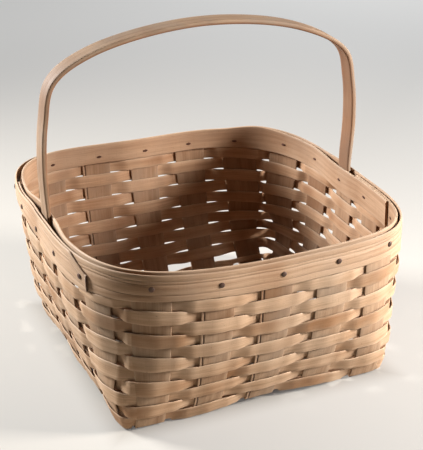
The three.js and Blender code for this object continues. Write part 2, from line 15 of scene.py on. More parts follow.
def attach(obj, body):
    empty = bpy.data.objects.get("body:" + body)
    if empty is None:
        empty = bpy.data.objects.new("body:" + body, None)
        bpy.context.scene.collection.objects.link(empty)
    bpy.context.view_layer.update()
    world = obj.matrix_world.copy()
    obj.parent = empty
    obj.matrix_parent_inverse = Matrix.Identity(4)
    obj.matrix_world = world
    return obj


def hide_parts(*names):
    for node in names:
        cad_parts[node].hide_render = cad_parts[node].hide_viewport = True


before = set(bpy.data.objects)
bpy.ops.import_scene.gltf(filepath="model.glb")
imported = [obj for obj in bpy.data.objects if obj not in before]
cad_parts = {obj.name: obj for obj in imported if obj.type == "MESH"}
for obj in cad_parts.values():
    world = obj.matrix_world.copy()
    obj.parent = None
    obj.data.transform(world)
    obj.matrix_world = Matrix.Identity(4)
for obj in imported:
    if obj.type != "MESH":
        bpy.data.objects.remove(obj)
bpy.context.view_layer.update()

METRE = 0.001
FULL_TURN = 2 * math.pi

# Basket, over the outer hoop. The walls flare out up to the flare height.
RIM_WIDTH = 304.8
RIM_DEPTH = 316.8
RIM_HEIGHT = 156.2
BASE_WIDTH = 249.4
BASE_DEPTH = 249.6
FLARE_HEIGHT = 131.0
# Exponents of the rounded square in plan, one a corner: a larger one is squarer. The
# base's is added to them, and fades out on the way up.
POWER_FRONT_RIGHT = 4.9
POWER_BACK_RIGHT = 2.6
POWER_BACK_LEFT = 4.6
POWER_FRONT_LEFT = 3.6
BASE_POWER = 22.0
POWER_FADE = 5.0

# Hoops. The rim is lower at the middle of each wall than at the corners, and leans.
HOOP_HEIGHT = 24.2
HOOP_THICKNESS = 2.2
INNER_HOOP_STANDS_UP = 1.8
RIM_DIP = 1.6
RIM_LEAN_X = -1.4
RIM_LEAN_Y = 1.3
# Places of the lapped ends, from the rim's back or front or from the handle's foot
OUTER_LAP_ROOM_BACK = 63.4
OUTER_LAP_ROOM_FRONT = 60.4
INNER_LAP_ROOM_FRONT = 63.4
INNER_LAP_BEFORE_FOOT = 12.5
LAP_FLAT = 18.0
LAP_RISE = 60.0
# The outer hoop's last end is cut to a slope, and its lower edge sags at the front left
END_CUT_LENGTH = 22.0
END_CUT_DEPTH = 13.0
# How dark the hoops' last ends are drawn: painted shade of the end face and the shadow beside it
END_PAINTED_SHADE = 0.75
HOOP_SAG = 4.8
SAG_MIDDLE = 3.58
SAG_REACH = 0.56
# Along the back the hoops are narrower: their upper edges dip between two directions
BACK_DIP = 5.0
BACK_DIP_SPAN = (0.76, 2.95)
DIP_FADE = 0.3
# Along the right wall the outer hoop's upper edge stands a little higher, and towards
# the back the inner hoop's is a little lower
RIGHT_RISE = 2.2
RIGHT_RISE_SPAN = (-0.85, 0.3)
RIGHT_DROP = 2.0
RIGHT_DROP_SPAN = (-0.1, 0.85)
# The inner hoop clears the handle's feet, and falls back to the wall beside them
FOOT_BULGE_CLEAR = 3.0
FOOT_BULGE_FALL = 50.0
# Heights of the fine lines on the outer hoop, their depth and how dark they are
HOOP_LINES = (6.6, 16.6, 19.2)
LINE_DEPTH = 0.32
LINE_DARK = 0.32
HOOP_STATIONS = 620
# Heights of the columns of vertices, from a hoop's lower edge to its upper one
OUTER_HOOP_COLUMNS = (0, 0.25, 0.7, 1.3, 3.6, 6.2, 6.6, 7.0, 9, 13, 16.3, 16.6, 16.9, 18.9, 19.2, 19.5,
                      21.8, 23.0, 23.5, 23.95, HOOP_HEIGHT)
INNER_HOOP_COLUMNS = (0, 0.25, 0.7, 1.3, 3.5, 6.5, 10, 14, 18, 22, 24.7, 25.3, 25.75,
                      HOOP_HEIGHT + INNER_HOOP_STANDS_UP)
# Radii of the eased edges: where a hoop touches the wall, and on its seen side
HOOP_EDGE = 0.8
OUTER_HOOP_EDGE = 1.2
INNER_HOOP_EDGE = 1.1
# How deep the outer hoop's bevels are at its edges
LOWER_BEVEL = 0.45
UPPER_BEVEL = 0.5
# Uneven lines, each as its size and its length: up and down within a hoop, in its
# thickness, in how dark its lines are, and along its edges
HOOP_WANDER = (1.1, 130)
HOOP_UNEVEN = (0.04, 60)
LINE_UNEVEN = (0.35, 75)
OUTER_UPPER_WANDER = (0.2, 150)
OUTER_LOWER_WANDER = (0.3, 120)
INNER_LOWER_WANDER = (0.3, 110)

# Splints
SPLINTS_EACH_WAY = 5
SPLINT_WIDTH_AT_BASE = 26.5
SPLINT_WIDTH_AT_RIM = 30.5
SPLINT_WIDTH = 28.0
SPLINT_THICKNESS = 1.4
SPLINT_EDGE = 0.6
SPLINT_CUP = 0.18
SPLINT_SWAY = 0.12
UPRIGHT_STATIONS = 60
SPLINT_TOP_BELOW_RIM = 3.0
# Room at the corners, beside the first and the last splint
CORNER_ROOM_AT_BASE = 7.9
CORNER_ROOM_AT_RIM_X = 33.5
CORNER_ROOM_AT_RIM_Y = 39.5
BEND_RADIUS = 1.5
# The base is domed: how high, how far in from its sides its feet stand, how square the
# dome is, and where it settles again at the back
BASE_RISE = 5.0
FOOT_ROOM = 38.7
LEFT_FOOT_ROOM = 58.7
DOME_POWER = 2.0
DOME_MIDDLE_X = 20.0
SETTLE_LENGTH = 22.0
# A split runs along some splints, this far in from their left edge
SPLIT_FROM_EDGE = 2.7
SPLIT_WIDTH = 0.55
SPLIT_DEPTH = 0.8
SPLIT_FADE = 60.0

# Weavers
WEAVER_ROWS = 11
BOTTOM_ROW_HEIGHT = 9.2
TOP_ROW_BELOW_HOOP = 5.2
WEAVER_WIDTH = 12.5
WEAVER_THICKNESS = 1.1
WEAVER_EDGE = 0.5
WEAVER_CUP = 0.22
WEAVER_WANDER = 0.35
ROW_GAP = 0.1
CORNER_ROW_GAP = 0.5
# A weaver is wider, and bulges out, where it floats over an upright
FLOAT_EXTRA = 2.6
FLOAT_BULGE = 0.9
# It stays flatter and narrower where it passes an upright on the inside
INSIDE_EXTRA = 0.4
INSIDE_BULGE = 0.3
# At the front and left it covers its neighbours a little wherever it runs outside
COVER = 1.7
# It stands further off behind the uprights of the left wall and before those of the right
SIDE_STAND_OFF = 1.3
# Half way up, the rows rise at the front corners and to the right, and drop at the back
CORNER_LIFT = 3.2
ROW_TILT_RISE = 1.8
BACK_ROW_DROP = 2.2
# The bottom row rises where it runs inside, from this share of its stand-off on
INSIDE_FROM = 0.8
# How far its upper edge stays below the even place, and at the back
BOTTOM_ROW_SLACK = 1.5
BOTTOM_ROW_SLACK_AT_BACK = 5.7
# Share of a gap, at each end, over which a weaver stays flat before it crosses
HOLD_IN_GAP = 0.14

# Handle. It is a little thicker above the rim, and its edges are eased.
HANDLE_WIDTH = 18.7
HANDLE_THICKNESS = 3.5
HANDLE_LENGTH = 720.0
HANDLE_STATIONS = 260
HANDLE_WANDER = (0.25, 180)
HANDLE_CURVE_STEPS = 60
HANDLE_EXTRA = 0.7
HANDLE_EXTRA_RISE = 20.0
HANDLE_EDGE = 0.6
CROWN_HEIGHT = 318.2
HANDLE_FOOT_ABOVE_HOOP_EDGE = 2.0
HANDLE_STRAIGHT_ABOVE_RIM = 4.0
LEFT_FOOT_Y = 9.1
RIGHT_FOOT_Y = -4.1
# Points of its shoulders: shares of the way in from the foot, and up from rim to crown
LEFT_BEND = ((-0.004, 0.305), (0.022, 0.554), (0.084, 0.766), (0.337, 0.908))
RIGHT_BEND = ((-0.022, 0.305), (-0.01, 0.554), (0.044, 0.74), (0.362, 0.91))

# Tacks. The clinched point is longer along the hoop than it is high.
TACK_HEAD_RADIUS = 2.5
TACK_HEAD_HEIGHT = 1.2
TACK_HEAD_RIM = 0.25
TACK_SHANK_RADIUS = 0.8
TACK_CLINCH_RADIUS = 1.3
TACK_CLINCH_HEIGHT = 0.6
TACK_CLINCH_STRETCH = 2.1
TACK_SIDES = 20
TACK_UNEVEN = 0.06

# Room between pieces that touch, and between a weaver and the uprights
SEAT_GAP = 0.3
WEAVE_GAP = 0.15

# How far the uprights stand from their even places, from left to right or from front to
# back. Rows: front, right, back and left wall.
STRAY_AT_BASE = np.array([0, 0, -1, 0, 1], float)
STRAY_AT_RIM = np.array([
    [1, 3, 5, 6, 1],
    [1, 0, 1, -2, -9],
    [3, -1, -1, -5, -11],
    [1, 2, 2, 0, 1],
], float)
# How far the tacks stand from the middle of their uprights, and below that of the hoops
TACK_STRAY = np.array([
    [0, 2, 4, 3, 9],
    [0, 3, -2, 2, 1],
    [0, 3, 1, 0, 0],
    [12.5, 11.9, 13.5, 12.5, 3],
], float)
TACK_DROP = np.array([0.0, 0.0, 4.6, 4.0])

# Woods: three colours and four amounts, which are the inputs of the wood's node group, and the strength of
# the relief. The last amount darkens the faces turned to the inside as painted shade.
WOOD_INPUTS = ("Light", "Dark", "Grey", "Greyness", "Patchiness", "Edge wear", "Inside painted shade")
WOODS = {
    "splint_wood": ((200, 163, 129), (138, 93, 56), (172, 148, 124), 0.6, 0.7, 0.15, 0.25, 0.5),
    "weaver_wood": ((230, 190, 152), (158, 106, 62), (198, 170, 142), 0.4, 0.8, 0.4, 0.25, 0.45),
    "hoop_wood": ((225, 186, 150), (154, 103, 61), (198, 168, 141), 0.35, 0.45, 0.45, 0.2, 0.5),
    "handle_wood": ((186, 151, 119), (126, 88, 60), (158, 137, 118), 0.5, 0.6, 0.05, 0.5, 0.7),
}
# Colours of worn edges, of split lines and hoop lines, which also paint shade on the hoops' last ends, and
# of iron and its rust
WORN = (226, 196, 164)
DARK_LINE_AND_END_SHADE = (52, 30, 18)
IRON = (92, 78, 68)
RUST = (92, 54, 36)
# Depth of the relief in metres
WOOD_RELIEF = 0.0004
IRON_RELIEF = 0.0003
# Steps in millimetres from one strip's place in the pattern to the next one's, and to
# that of its inner side; how deep an end face is in it; how far worn edges reach in
PATTERN_STEP = 617.0
PATTERN_SLANT = 0.37
PATTERN_INSIDE = 311.0
END_DEPTH = 2.0
WORN_REACH = 0.9
# Share of its red, green and blue with which wood passes light on to other wood
PASSED_ON = (0.29, 0.2, 0.08, 1.0)

# The paper's own colour, and its glow for the camera near and far, left and right: weaker near the basket
# as painted shade, and stronger at the right as painted light
PAPER_COLOUR = (174, 163, 149)
PAPER_GLOW_TINT = (0.975, 0.985, 0.985, 1.0)
PAPER_GLOW_NEAR = 0.4
PAPER_GLOW_FAR = 0.65
PAPER_GLOW_LEFT = 0.77
PAPER_GLOW_RIGHT = 1.15

# Lamps: place, target and size in metres, power in watts, and tint
LAMPS = {
    "key_right": ((1.05, -0.66, 0.61), (0.0, 0.0, 0.1), (0.28, 0.28), 5.3, (0.95, 0.97, 1.0)),
    "low_right": ((0.62, -0.36, 0.12), (0.0, 0.0, 0.05), (0.2, 0.12), 0.27, (0.93, 0.96, 1.0)),
    "fill_left": ((-0.87, 0.8, 0.68), (0.0, 0.0, 0.1), (0.4, 0.4), 6.6, (0.86, 0.93, 1.0)),
}
LAMP_SPREAD = 75
# The room's colour, the light that it gives, and how bright it is where it is seen
ROOM_COLOUR = (1.0, 0.92, 0.82, 1.0)
ROOM_LIGHT = 0.03
ROOM_SEEN = 0.6

# The camera: its angles in degrees, its place in millimetres, and its focal length and
# sideways shift in pixels of the 450 pixel high photograph
CAMERA_AZIMUTH = -22.292
CAMERA_ELEVATION = 25.268
CAMERA_ROLL = -1.025
CAMERA_PLACE = np.array([-432.71, -1082.43, 670.55])
FOCAL_PIXELS = 1378.4
SHIFT_PIXELS = -0.57
PHOTO_HEIGHT = 450
SENSOR = 36.0

# Walls in the order that a weaver passes them, anticlockwise seen from above
WALL_NAMES = ("front", "right", "back", "left")
WALL_ALONG_X = np.array([True, False, True, False])
WALL_SIDE = np.array([-1.0, 1.0, 1.0, -1.0])
WALL_DIRECTION = np.array([1, 1, -1, -1])
FRONT, RIGHT, BACK, LEFT = range(4)

HOOP_OFFSET = SPLINT_THICKNESS / 2 + SEAT_GAP + HOOP_THICKNESS / 2
WALL_HALF_X = RIM_WIDTH / 2 - HOOP_OFFSET - HOOP_THICKNESS / 2
WALL_HALF_Y = RIM_DEPTH / 2 - HOOP_OFFSET - HOOP_THICKNESS / 2
LAP_STEP = HOOP_THICKNESS + SEAT_GAP
HOOP_BOTTOM = RIM_HEIGHT - HOOP_HEIGHT
CROSSING_OFFSET = (SPLINT_THICKNESS + WEAVER_THICKNESS) / 2 + WEAVE_GAP
TOP_ROW_HEIGHT = HOOP_BOTTOM - TOP_ROW_BELOW_HOOP
ROW_PITCH = (TOP_ROW_HEIGHT - BOTTOM_ROW_HEIGHT) / (WEAVER_ROWS - 1)
LAYER_STEP = (SPLINT_THICKNESS + SEAT_GAP) / 2
BASE_MIDDLE = SPLINT_THICKNESS / 2 + LAYER_STEP
OUTER_LAP_START = RIM_DEPTH / 2 - OUTER_LAP_ROOM_BACK
OUTER_LAP_END = OUTER_LAP_ROOM_FRONT - RIM_DEPTH / 2
INNER_LAP_START = INNER_LAP_ROOM_FRONT - RIM_DEPTH / 2
INNER_LAP_END = RIGHT_FOOT_Y - HANDLE_WIDTH / 2 - INNER_LAP_BEFORE_FOOT
RING = 4 * SPLINTS_EACH_WAY
MIDDLE_SPLINT = (SPLINTS_EACH_WAY - 1) // 2
SPLIT_SPLINTS = (MIDDLE_SPLINT - 1, MIDDLE_SPLINT)
# The whole basket stands half a lap to the right, so that its box is centred
SHIFT = np.array([LAP_STEP / 2, 0.0, 0.0])


def smooth(value):
    """Runs from 0 to 1 with a level start and end."""
    t = np.clip(value, 0.0, 1.0)
    return t * t * (3 - 2 * t)


def unit(vectors):
    """Vectors of length 1 in the same directions."""
    return vectors / np.linalg.norm(vectors, axis=-1, keepdims=True)


def running(steps):
    """How far along a line its points lie, the first at 0, from the steps between them."""
    return np.concatenate([[0], np.cumsum(steps)])


def waver(place, seed, size, length):
    """A seeded uneven line: four sine waves of random phase, about size high, whose
    lengths run from length down to a third of it."""
    rng = np.random.default_rng(seed)
    total = np.zeros_like(np.asarray(place, float))
    for share in (1.0, 0.71, 0.47, 0.33):
        phase = rng.uniform(0, FULL_TURN)
        total += np.sin(FULL_TURN * place / (length * share) + phase) * share
    return total * size / 2


def waver_round(angle, seed, size, length):
    """The same, along the rim in the direction angle."""
    return waver(angle * WALL_HALF_X, seed, size, length)


def wall_half(z):
    """Half width of the wall's middle surface along X and Y at height z."""
    up = 1 - np.minimum(np.maximum(z, 0) / FLARE_HEIGHT, 1)
    flare = 1 - up * up
    half_x = BASE_WIDTH / 2 + (WALL_HALF_X - BASE_WIDTH / 2) * flare
    half_y = BASE_DEPTH / 2 + (WALL_HALF_Y - BASE_DEPTH / 2) * flare
    return half_x, half_y


def squareness(dx, dy, z):
    """Exponent of the rounded square in the quarter that a direction points to."""
    front = np.where(dx < 0, POWER_FRONT_LEFT, POWER_FRONT_RIGHT)
    back = np.where(dx < 0, POWER_BACK_LEFT, POWER_BACK_RIGHT)
    down = 1 - np.minimum(np.maximum(z, 0) / FLARE_HEIGHT, 1)
    return np.where(dy < 0, front, back) + BASE_POWER * down ** POWER_FADE


def wall_normal(angle, z):
    """Level direction square to the wall in the direction angle."""
    c, s = np.cos(angle), np.sin(angle)
    half_x, half_y = wall_half(z)
    n = squareness(c, s, z)
    nx = np.sign(c) * np.abs(c) ** (n - 1) / half_x
    ny = np.sign(s) * np.abs(s) ** (n - 1) / half_y
    return unit(np.stack([nx, ny, np.zeros_like(nx)], -1))


def wall_point(angle, z, offset=0.0):
    """Point on the wall in the direction angle at height z, pushed outwards by offset.
    The plan is a rounded square: |x/a|^n + |y/b|^n = 1."""
    angle, z = np.broadcast_arrays(np.asarray(angle, float), np.asarray(z, float))
    c, s = np.cos(angle), np.sin(angle)
    half_x, half_y = wall_half(z)
    n = squareness(c, s, z)
    r = (np.abs(c) ** n + np.abs(s) ** n) ** (-1 / n)
    place = np.stack([half_x * r * c, half_y * r * s, z], -1)
    return place + wall_normal(angle, z) * np.asarray(offset, float)[..., None]


def angle_on_wall(wall, u, z):
    """Direction angle of the place that lies u along a wall from the wall's middle. It
    runs from the front left corner once round, without a jump on the left wall."""
    half_x, half_y = wall_half(z)
    along_x, side = WALL_ALONG_X[wall], WALL_SIDE[wall]
    share = u / np.where(along_x, half_x, half_y)
    n = squareness(np.where(along_x, share, side), np.where(along_x, side, share), z)
    # The share is kept under 1, so that the place stays on this wall
    across = side * (1 - np.minimum(np.abs(share), 0.999) ** n) ** (1 / n)
    angle = np.where(along_x, np.arctan2(across, share), np.arctan2(share, across))
    return np.where(angle < -0.75 * math.pi, angle + FULL_TURN, angle)


def rim_angle(wall, u):
    """The same, at the height of the rim."""
    return angle_on_wall(wall, u, RIM_HEIGHT)


def rim_shape(angle):
    """How far the rim's edge lies above its mean height in the direction angle."""
    place = wall_point(angle, RIM_HEIGHT)
    lean = RIM_LEAN_X * place[..., 0] / WALL_HALF_X + RIM_LEAN_Y * place[..., 1] / WALL_HALF_Y
    return lean - RIM_DIP * np.cos(4 * angle)


def base_lift(x, y):
    """Lift of the domed base: nothing at the feet and at the back, where it has settled,
    and BASE_RISE at the top of the dome."""
    right = (x - DOME_MIDDLE_X) / (BASE_WIDTH / 2 - FOOT_ROOM - DOME_MIDDLE_X)
    left = (DOME_MIDDLE_X - x) / (BASE_WIDTH / 2 - LEFT_FOOT_ROOM + DOME_MIDDLE_X)
    reach_y = BASE_DEPTH / 2 - FOOT_ROOM
    foot_x = np.minimum(np.maximum(right, left), 1) ** DOME_POWER
    foot_y = np.minimum(np.abs(y) / reach_y, 1) ** DOME_POWER
    settled = smooth(1 - (reach_y - y) / SETTLE_LENGTH)
    return BASE_RISE * (1 - foot_x * foot_y) * (1 - settled)


def in_span(angle, span):
    """1 between the two directions of a span, fading inside each end, and 0 elsewhere."""
    turned = np.arctan2(np.sin(angle), np.cos(angle))
    return smooth((turned - span[0]) / DIP_FADE) * smooth((span[1] - turned) / DIP_FADE)


def dip(angle):
    """How far the upper edges of hoops and uprights dip along the back."""
    return BACK_DIP * in_span(angle, BACK_DIP_SPAN)


def back_share(angle):
    """How much a direction belongs to the back wall: it grows from 0 to 1 while the sine
    of the direction grows from 0.2 to 0.85."""
    return smooth((np.sin(angle) - 0.2) / 0.65)


def sag(angle):
    """How far the outer hoop's lower edge sags in the direction angle."""
    turned = angle - SAG_MIDDLE
    apart = np.abs(np.arctan2(np.sin(turned), np.cos(turned)))
    return HOOP_SAG * (1 - smooth(apart / SAG_REACH))


def front_share(angle):
    """How much a direction belongs to the front and left walls: 0 where its cosine and
    sine together are over 0.3, and 1 where they are under -0.7."""
    return smooth(0.3 - (np.cos(angle) + np.sin(angle)))


def row_height(angle, z):
    """Height of a weaver row: it follows the base below and the rim above. Half way up
    it rises at the front corners and to the right, and drops at the back."""
    share = z / HOOP_BOTTOM
    place = wall_point(angle, z)
    corner = (1 - np.cos(4 * angle)) / 2
    back = back_share(angle)
    rise = CORNER_LIFT * corner + ROW_TILT_RISE * place[..., 0] / WALL_HALF_X
    bent = 4 * share * (1 - share) * (rise * (1 - back) - BACK_ROW_DROP * back)
    lift = base_lift(place[..., 0], place[..., 1])
    return z + share * rim_shape(angle) + (1 - share) * lift + bent


def splint_pitch(along_x, share):
    """Distance between neighbouring splints, from the base (share 0) to the rim (1)."""
    gaps = SPLINTS_EACH_WAY - 1
    base = np.where(along_x, BASE_WIDTH, BASE_DEPTH)
    rim = np.where(along_x, RIM_WIDTH, RIM_DEPTH)
    room = np.where(along_x, CORNER_ROOM_AT_RIM_X, CORNER_ROOM_AT_RIM_Y)
    at_base = (base - SPLINT_WIDTH_AT_BASE - 2 * CORNER_ROOM_AT_BASE) / gaps
    at_rim = (rim - SPLINT_WIDTH_AT_RIM - 2 * room) / gaps
    return at_base + (at_rim - at_base) * share


def upright_place(wall, i, z):
    """Middle and half width of upright i of a wall at height z."""
    share = np.clip(z / RIM_HEIGHT, 0, 1)
    stray = STRAY_AT_BASE[i] + (STRAY_AT_RIM[wall, i] - STRAY_AT_BASE[i]) * share
    middle = (i - MIDDLE_SPLINT) * splint_pitch(WALL_ALONG_X[wall], share) + stray
    width = SPLINT_WIDTH_AT_BASE + (SPLINT_WIDTH_AT_RIM - SPLINT_WIDTH_AT_BASE) * share
    return middle, width / 2


def upright_angle(k, place, z):
    """Direction angle of a place across upright k of the ring, -1 and 1 at its edges."""
    turns = k // RING
    in_ring = k - turns * RING
    wall = in_ring // SPLINTS_EACH_WAY
    order = in_ring % SPLINTS_EACH_WAY
    direction = WALL_DIRECTION[wall]
    i = np.where(direction > 0, order, SPLINTS_EACH_WAY - 1 - order)
    middle, half = upright_place(wall, i, z)
    return angle_on_wall(wall, middle + direction * place * half, z) + turns * FULL_TURN


class RingPlaces:
    """Places round the wall: steps across every upright, the gaps between them and the
    four corners. share runs from 0 to 1 over a gap, place from -1 to 1 over an upright."""

    def __init__(self, across_upright, across_gap, across_corner):
        k, place, share, kind = [], [], [], []
        for upright in range(RING):
            is_corner = (upright + 1) % SPLINTS_EACH_WAY == 0
            count = across_corner if is_corner else across_gap
            k += [upright] * (across_upright + count)
            place += [*(2 * (np.arange(across_upright) / across_upright) - 1), *[1.0] * count]
            share += [*[0.0] * across_upright, *(np.arange(count) / count)]
            kind += [0] * across_upright + [2 if is_corner else 1] * count
        self.k = np.array(k)
        self.place = np.array(place)
        self.share = np.array(share)
        self.on_upright = np.array(kind) == 0
        self.at_corner = np.array(kind) == 2
        # 1 on the uprights that an even row passes outside, -1 on the next ones
        self.side = np.where(self.k % 2 == 0, 1.0, -1.0)

    def angle(self, z):
        """Direction angles of the places, for heights z of shape (places, columns)."""
        k = self.k[:, None]
        first = upright_angle(k, self.place[:, None], z)
        after = upright_angle(k + 1, -1.0, z)
        return np.where(self.on_upright[:, None], first, first + (after - first) * self.share[:, None])

    def stand_off(self, k, side):
        """How far a weaver's middle runs from the middle of upright k at its edges."""
        wall = (k % RING) // SPLINTS_EACH_WAY
        is_loose = ((wall == LEFT) & (side < 0)) | ((wall == RIGHT) & (side > 0))
        return CROSSING_OFFSET + np.where(is_loose, SIDE_STAND_OFF, 0.0)

    def wave(self, starts_outside):
        """The weaver's path in and out: out by the stand-off plus a squared cosine bulge
        over an upright, flat for a while beside it, and then a smooth step from one side
        to the other in the gap."""
        side = starts_outside * self.side
        here, after = self.stand_off(self.k, side), self.stand_off(self.k + 1, -side)
        bulge = np.where(side > 0, FLOAT_BULGE, INSIDE_BULGE)
        on = here + bulge * np.cos(self.place * math.pi / 2) ** 2
        step = smooth((self.share - HOLD_IN_GAP) / (1 - 2 * HOLD_IN_GAP))
        between = here - (here + after) * step
        return side * np.where(self.on_upright, on, between)


def add_object(name, data):
    """A new object in the scene that shows a mesh, a lamp or a camera."""
    thing = bpy.data.objects.new(name, data)
    bpy.context.scene.collection.objects.link(thing)
    return thing


def fill(items, key, values, kind=np.float32):
    """Sets one property of all the items of a mesh at once."""
    items.foreach_set(key, np.asarray(values, kind).ravel())


def mesh_object(name, points, quads, uv_corners, attributes):
    """A mesh from vertices (n,3), corner indices (m,4) and a UV for each corner, in
    millimetres. A corner that repeats the next one is dropped, which leaves a triangle.
    The mesh is turned to face outwards by the sign of its volume."""
    a, b, c, d = (points[quads[:, i]] for i in range(4))
    volume = np.einsum("ij,ij->", a, np.cross(b, c)) + np.einsum("ij,ij->", a, np.cross(c, d))
    if volume < 0:
        quads = quads[:, ::-1]
        uv_corners = uv_corners[:, ::-1]
    kept = quads != np.roll(quads, -1, axis=1)
    corners = kept.sum(1)
    mesh = bpy.data.meshes.new(name)
    mesh.vertices.add(len(points))
    fill(mesh.vertices, "co", (points + SHIFT) * METRE)
    mesh.loops.add(int(corners.sum()))
    fill(mesh.loops, "vertex_index", quads[kept], np.int32)
    mesh.polygons.add(len(quads))
    fill(mesh.polygons, "loop_start", np.cumsum(corners) - corners, np.int32)
    mesh.update(calc_edges=True)
    fill(mesh.uv_layers.new(name="UVMap").data, "uv", uv_corners[kept] * METRE)
    for key, values in attributes.items():
        fill(mesh.attributes.new(key, "FLOAT", "POINT").data, "value", values)
    fill(mesh.polygons, "use_smooth", np.ones(len(quads)), bool)
    mesh.validate()
    return add_object(name, mesh)


def strip_object(name, middle, normal, outer, inner, is_ring, seed, marks=None):
    """A strip of wood. middle and normal are (stations, columns, 3) grids, outer and
    inner (stations, columns) the thickness laid on each side, 0 at both edges. U of the
    UV map runs along the strip and V across it, in millimetres. Each strip shows its own
    place of the wood's pattern, by its seed, and its inner side another one. marks are
    more attributes, as (stations, columns) grids."""
    stations, columns = middle.shape[:2]
    out_side = middle + normal * outer[..., None]
    in_side = middle - normal * inner[..., None]
    loop = np.concatenate([out_side, in_side[:, -2:0:-1]], axis=1)
    around = loop.shape[1]
    out_index = np.arange(columns)
    in_index = np.concatenate([[0], np.arange(around - 1, columns - 1, -1), [columns - 1]])

    centre = middle[:, columns // 2]
    after = np.roll(centre, -1, axis=0) if is_ring else centre[1:]
    steps = np.linalg.norm(after - centre[:len(after)], axis=1)
    along = running(steps)
    widths = np.linalg.norm(np.diff(middle, axis=1), axis=2).mean(0)
    across = running(widths)
    far = seed * PATTERN_STEP
    slant = far * PATTERN_SLANT

    first = np.arange(stations if is_ring else stations - 1)
    second = (first + 1) % stations
    quads, uvs = [], []
    for index, shift in ((out_index, 0.0), (in_index, PATTERN_INSIDE)):
        left, right = index[:-1], index[1:]
        corners = [(first, left), (second, left), (second, right), (first, right)]
        quad = np.stack([s[:, None] * around + j for s, j in corners], -1)
        u0, u1 = along[first][:, None], along[first + 1][:, None]
        u0, u1, v0, v1 = np.broadcast_arrays(u0, u1, across[:-1], across[1:])
        u = np.stack([u0, u1, u1, u0], -1) + far
        v = np.stack([v0, v0, v1, v1], -1) + shift + slant
        uv = np.stack([u, v], -1)
        if shift:
            quad, uv = quad[..., ::-1], uv[..., ::-1, :]
        quads.append(quad.reshape(-1, 4))
        uvs.append(uv.reshape(-1, 4, 2))
    if not is_ring:
        for station, turn in ((0, 1), (stations - 1, -1)):
            left, right = np.arange(columns - 1), np.arange(1, columns)
            quad = np.stack([in_index[left], in_index[right], out_index[right], out_index[left]], -1)
            quad = (quad + station * around)[:, ::turn]
            depth = np.array([0, 0, END_DEPTH, END_DEPTH])[::turn]
            v = np.stack([across[left], across[right], across[right], across[left]], -1)[:, ::turn]
            u = np.broadcast_to(along[station] + far + depth, v.shape)
            quads.append(quad)
            uvs.append(np.stack([u, v + slant], -1))
    quads = np.concatenate(quads)
    uvs = np.concatenate(uvs)
    edge = np.minimum(across, across[-1] - across)
    worn = np.exp(-edge / WORN_REACH)
    worn = np.concatenate([worn, worn[-2:0:-1]])
    inside = np.arange(around) >= columns
    attributes = {
        "edge": np.broadcast_to(worn, (stations, around)),
        "inside": np.broadcast_to(inside, (stations, around)),
    }
    for key, values in (marks or {}).items():
        attributes[key] = np.concatenate([values, values[:, -2:0:-1]], axis=1)
    return mesh_object(name, loop.reshape(-1, 3), quads, uvs, attributes)


def rounded(shares, width, thickness, radius):
    """Half thickness at shares of the width of a strip: flat, and round at both edges."""
    edge = np.minimum(shares, 1 - shares) * width
    inward = np.clip(1 - edge / radius, 0, 1)
    return thickness / 2 * np.sqrt(1 - inward ** 2)


def across_shares(width, radius, plain):
    """Places across a strip, from 0 to 1: close together at its rounded edges, and a
    plain number of them between."""
    edge = np.array([0, 0.13, 0.45, 1.0]) * radius / width
    inner = np.linspace(edge[-1], 1 - edge[-1], plain + 2)[1:-1]
    return np.concatenate([edge, inner, 1 - edge[::-1]])


def weaver(row):
    """One weaver: its edges follow the shared row boundaries, it widens by a cosine where
    it floats over an upright, and it winds in and out by the ring's wave. The top row
    ends under the outer hoop. The bottom row's lower edge follows the base, and rises
    over the bend of each splint that it passes on the inside."""
    ring = RingPlaces(across_upright=8, across_gap=10, across_corner=22)
    level = TOP_ROW_HEIGHT - (row - 1) * ROW_PITCH
    starts_outside = 1 if row % 2 == 0 else -1
    angle = ring.angle(np.full((len(ring.k), 1), level))[:, 0]
    bump = np.where(ring.on_upright, np.cos(ring.place * math.pi / 2), 0.0)
    corner = np.where(ring.at_corner, np.sin(ring.share * math.pi), 0.0)
    offset = ring.wave(starts_outside)
    cover = COVER * front_share(angle) * smooth(offset / CROSSING_OFFSET)
    extra = np.where(starts_outside * ring.side > 0, FLOAT_EXTRA - cover, INSIDE_EXTRA)
    gap = ROW_GAP - cover - extra * bump + (CORNER_ROW_GAP - ROW_GAP) * corner
    upper = row_height(angle, level + ROW_PITCH / 2) - gap / 2
    lower = row_height(angle, level - ROW_PITCH / 2) + gap / 2
    upper = upper + waver_round(angle, row * 2, WEAVER_WANDER, 90)
    lower = lower + waver_round(angle, row * 2 + 1, WEAVER_WANDER, 70)
    if row == 1:
        upper = HOOP_BOTTOM + rim_shape(angle) - sag(angle) - SEAT_GAP
    if row == WEAVER_ROWS:
        place = wall_point(angle, level)
        inner_seat = BASE_MIDDLE + LAYER_STEP + BEND_RADIUS + SEAT_GAP
        outer_seat = SPLINT_THICKNESS / 2 + SEAT_GAP
        inward = smooth((-offset / CROSSING_OFFSET - INSIDE_FROM) / (1 - INSIDE_FROM))
        lower = outer_seat + (inner_seat - outer_seat) * inward + base_lift(place[:, 0], place[:, 1])
        slack = BOTTOM_ROW_SLACK_AT_BACK - BOTTOM_ROW_SLACK
        upper = upper - BOTTOM_ROW_SLACK - slack * back_share(angle)
    width = upper - lower
    shares = across_shares(WEAVER_WIDTH, WEAVER_EDGE, plain=4)
    z = lower[:, None] + width[:, None] * shares
    cup = WEAVER_CUP * starts_outside * ring.side * bump
    crown = offset[:, None] + cup[:, None] * (1 - (2 * shares - 1) ** 2)
    around = ring.angle(z)
    middle = wall_point(around, z, crown)
    half = rounded(shares, width[:, None], WEAVER_THICKNESS, WEAVER_EDGE)
    return strip_object(f"weaver_{row:02d}", middle, wall_normal(around, z), half, half, True, row)


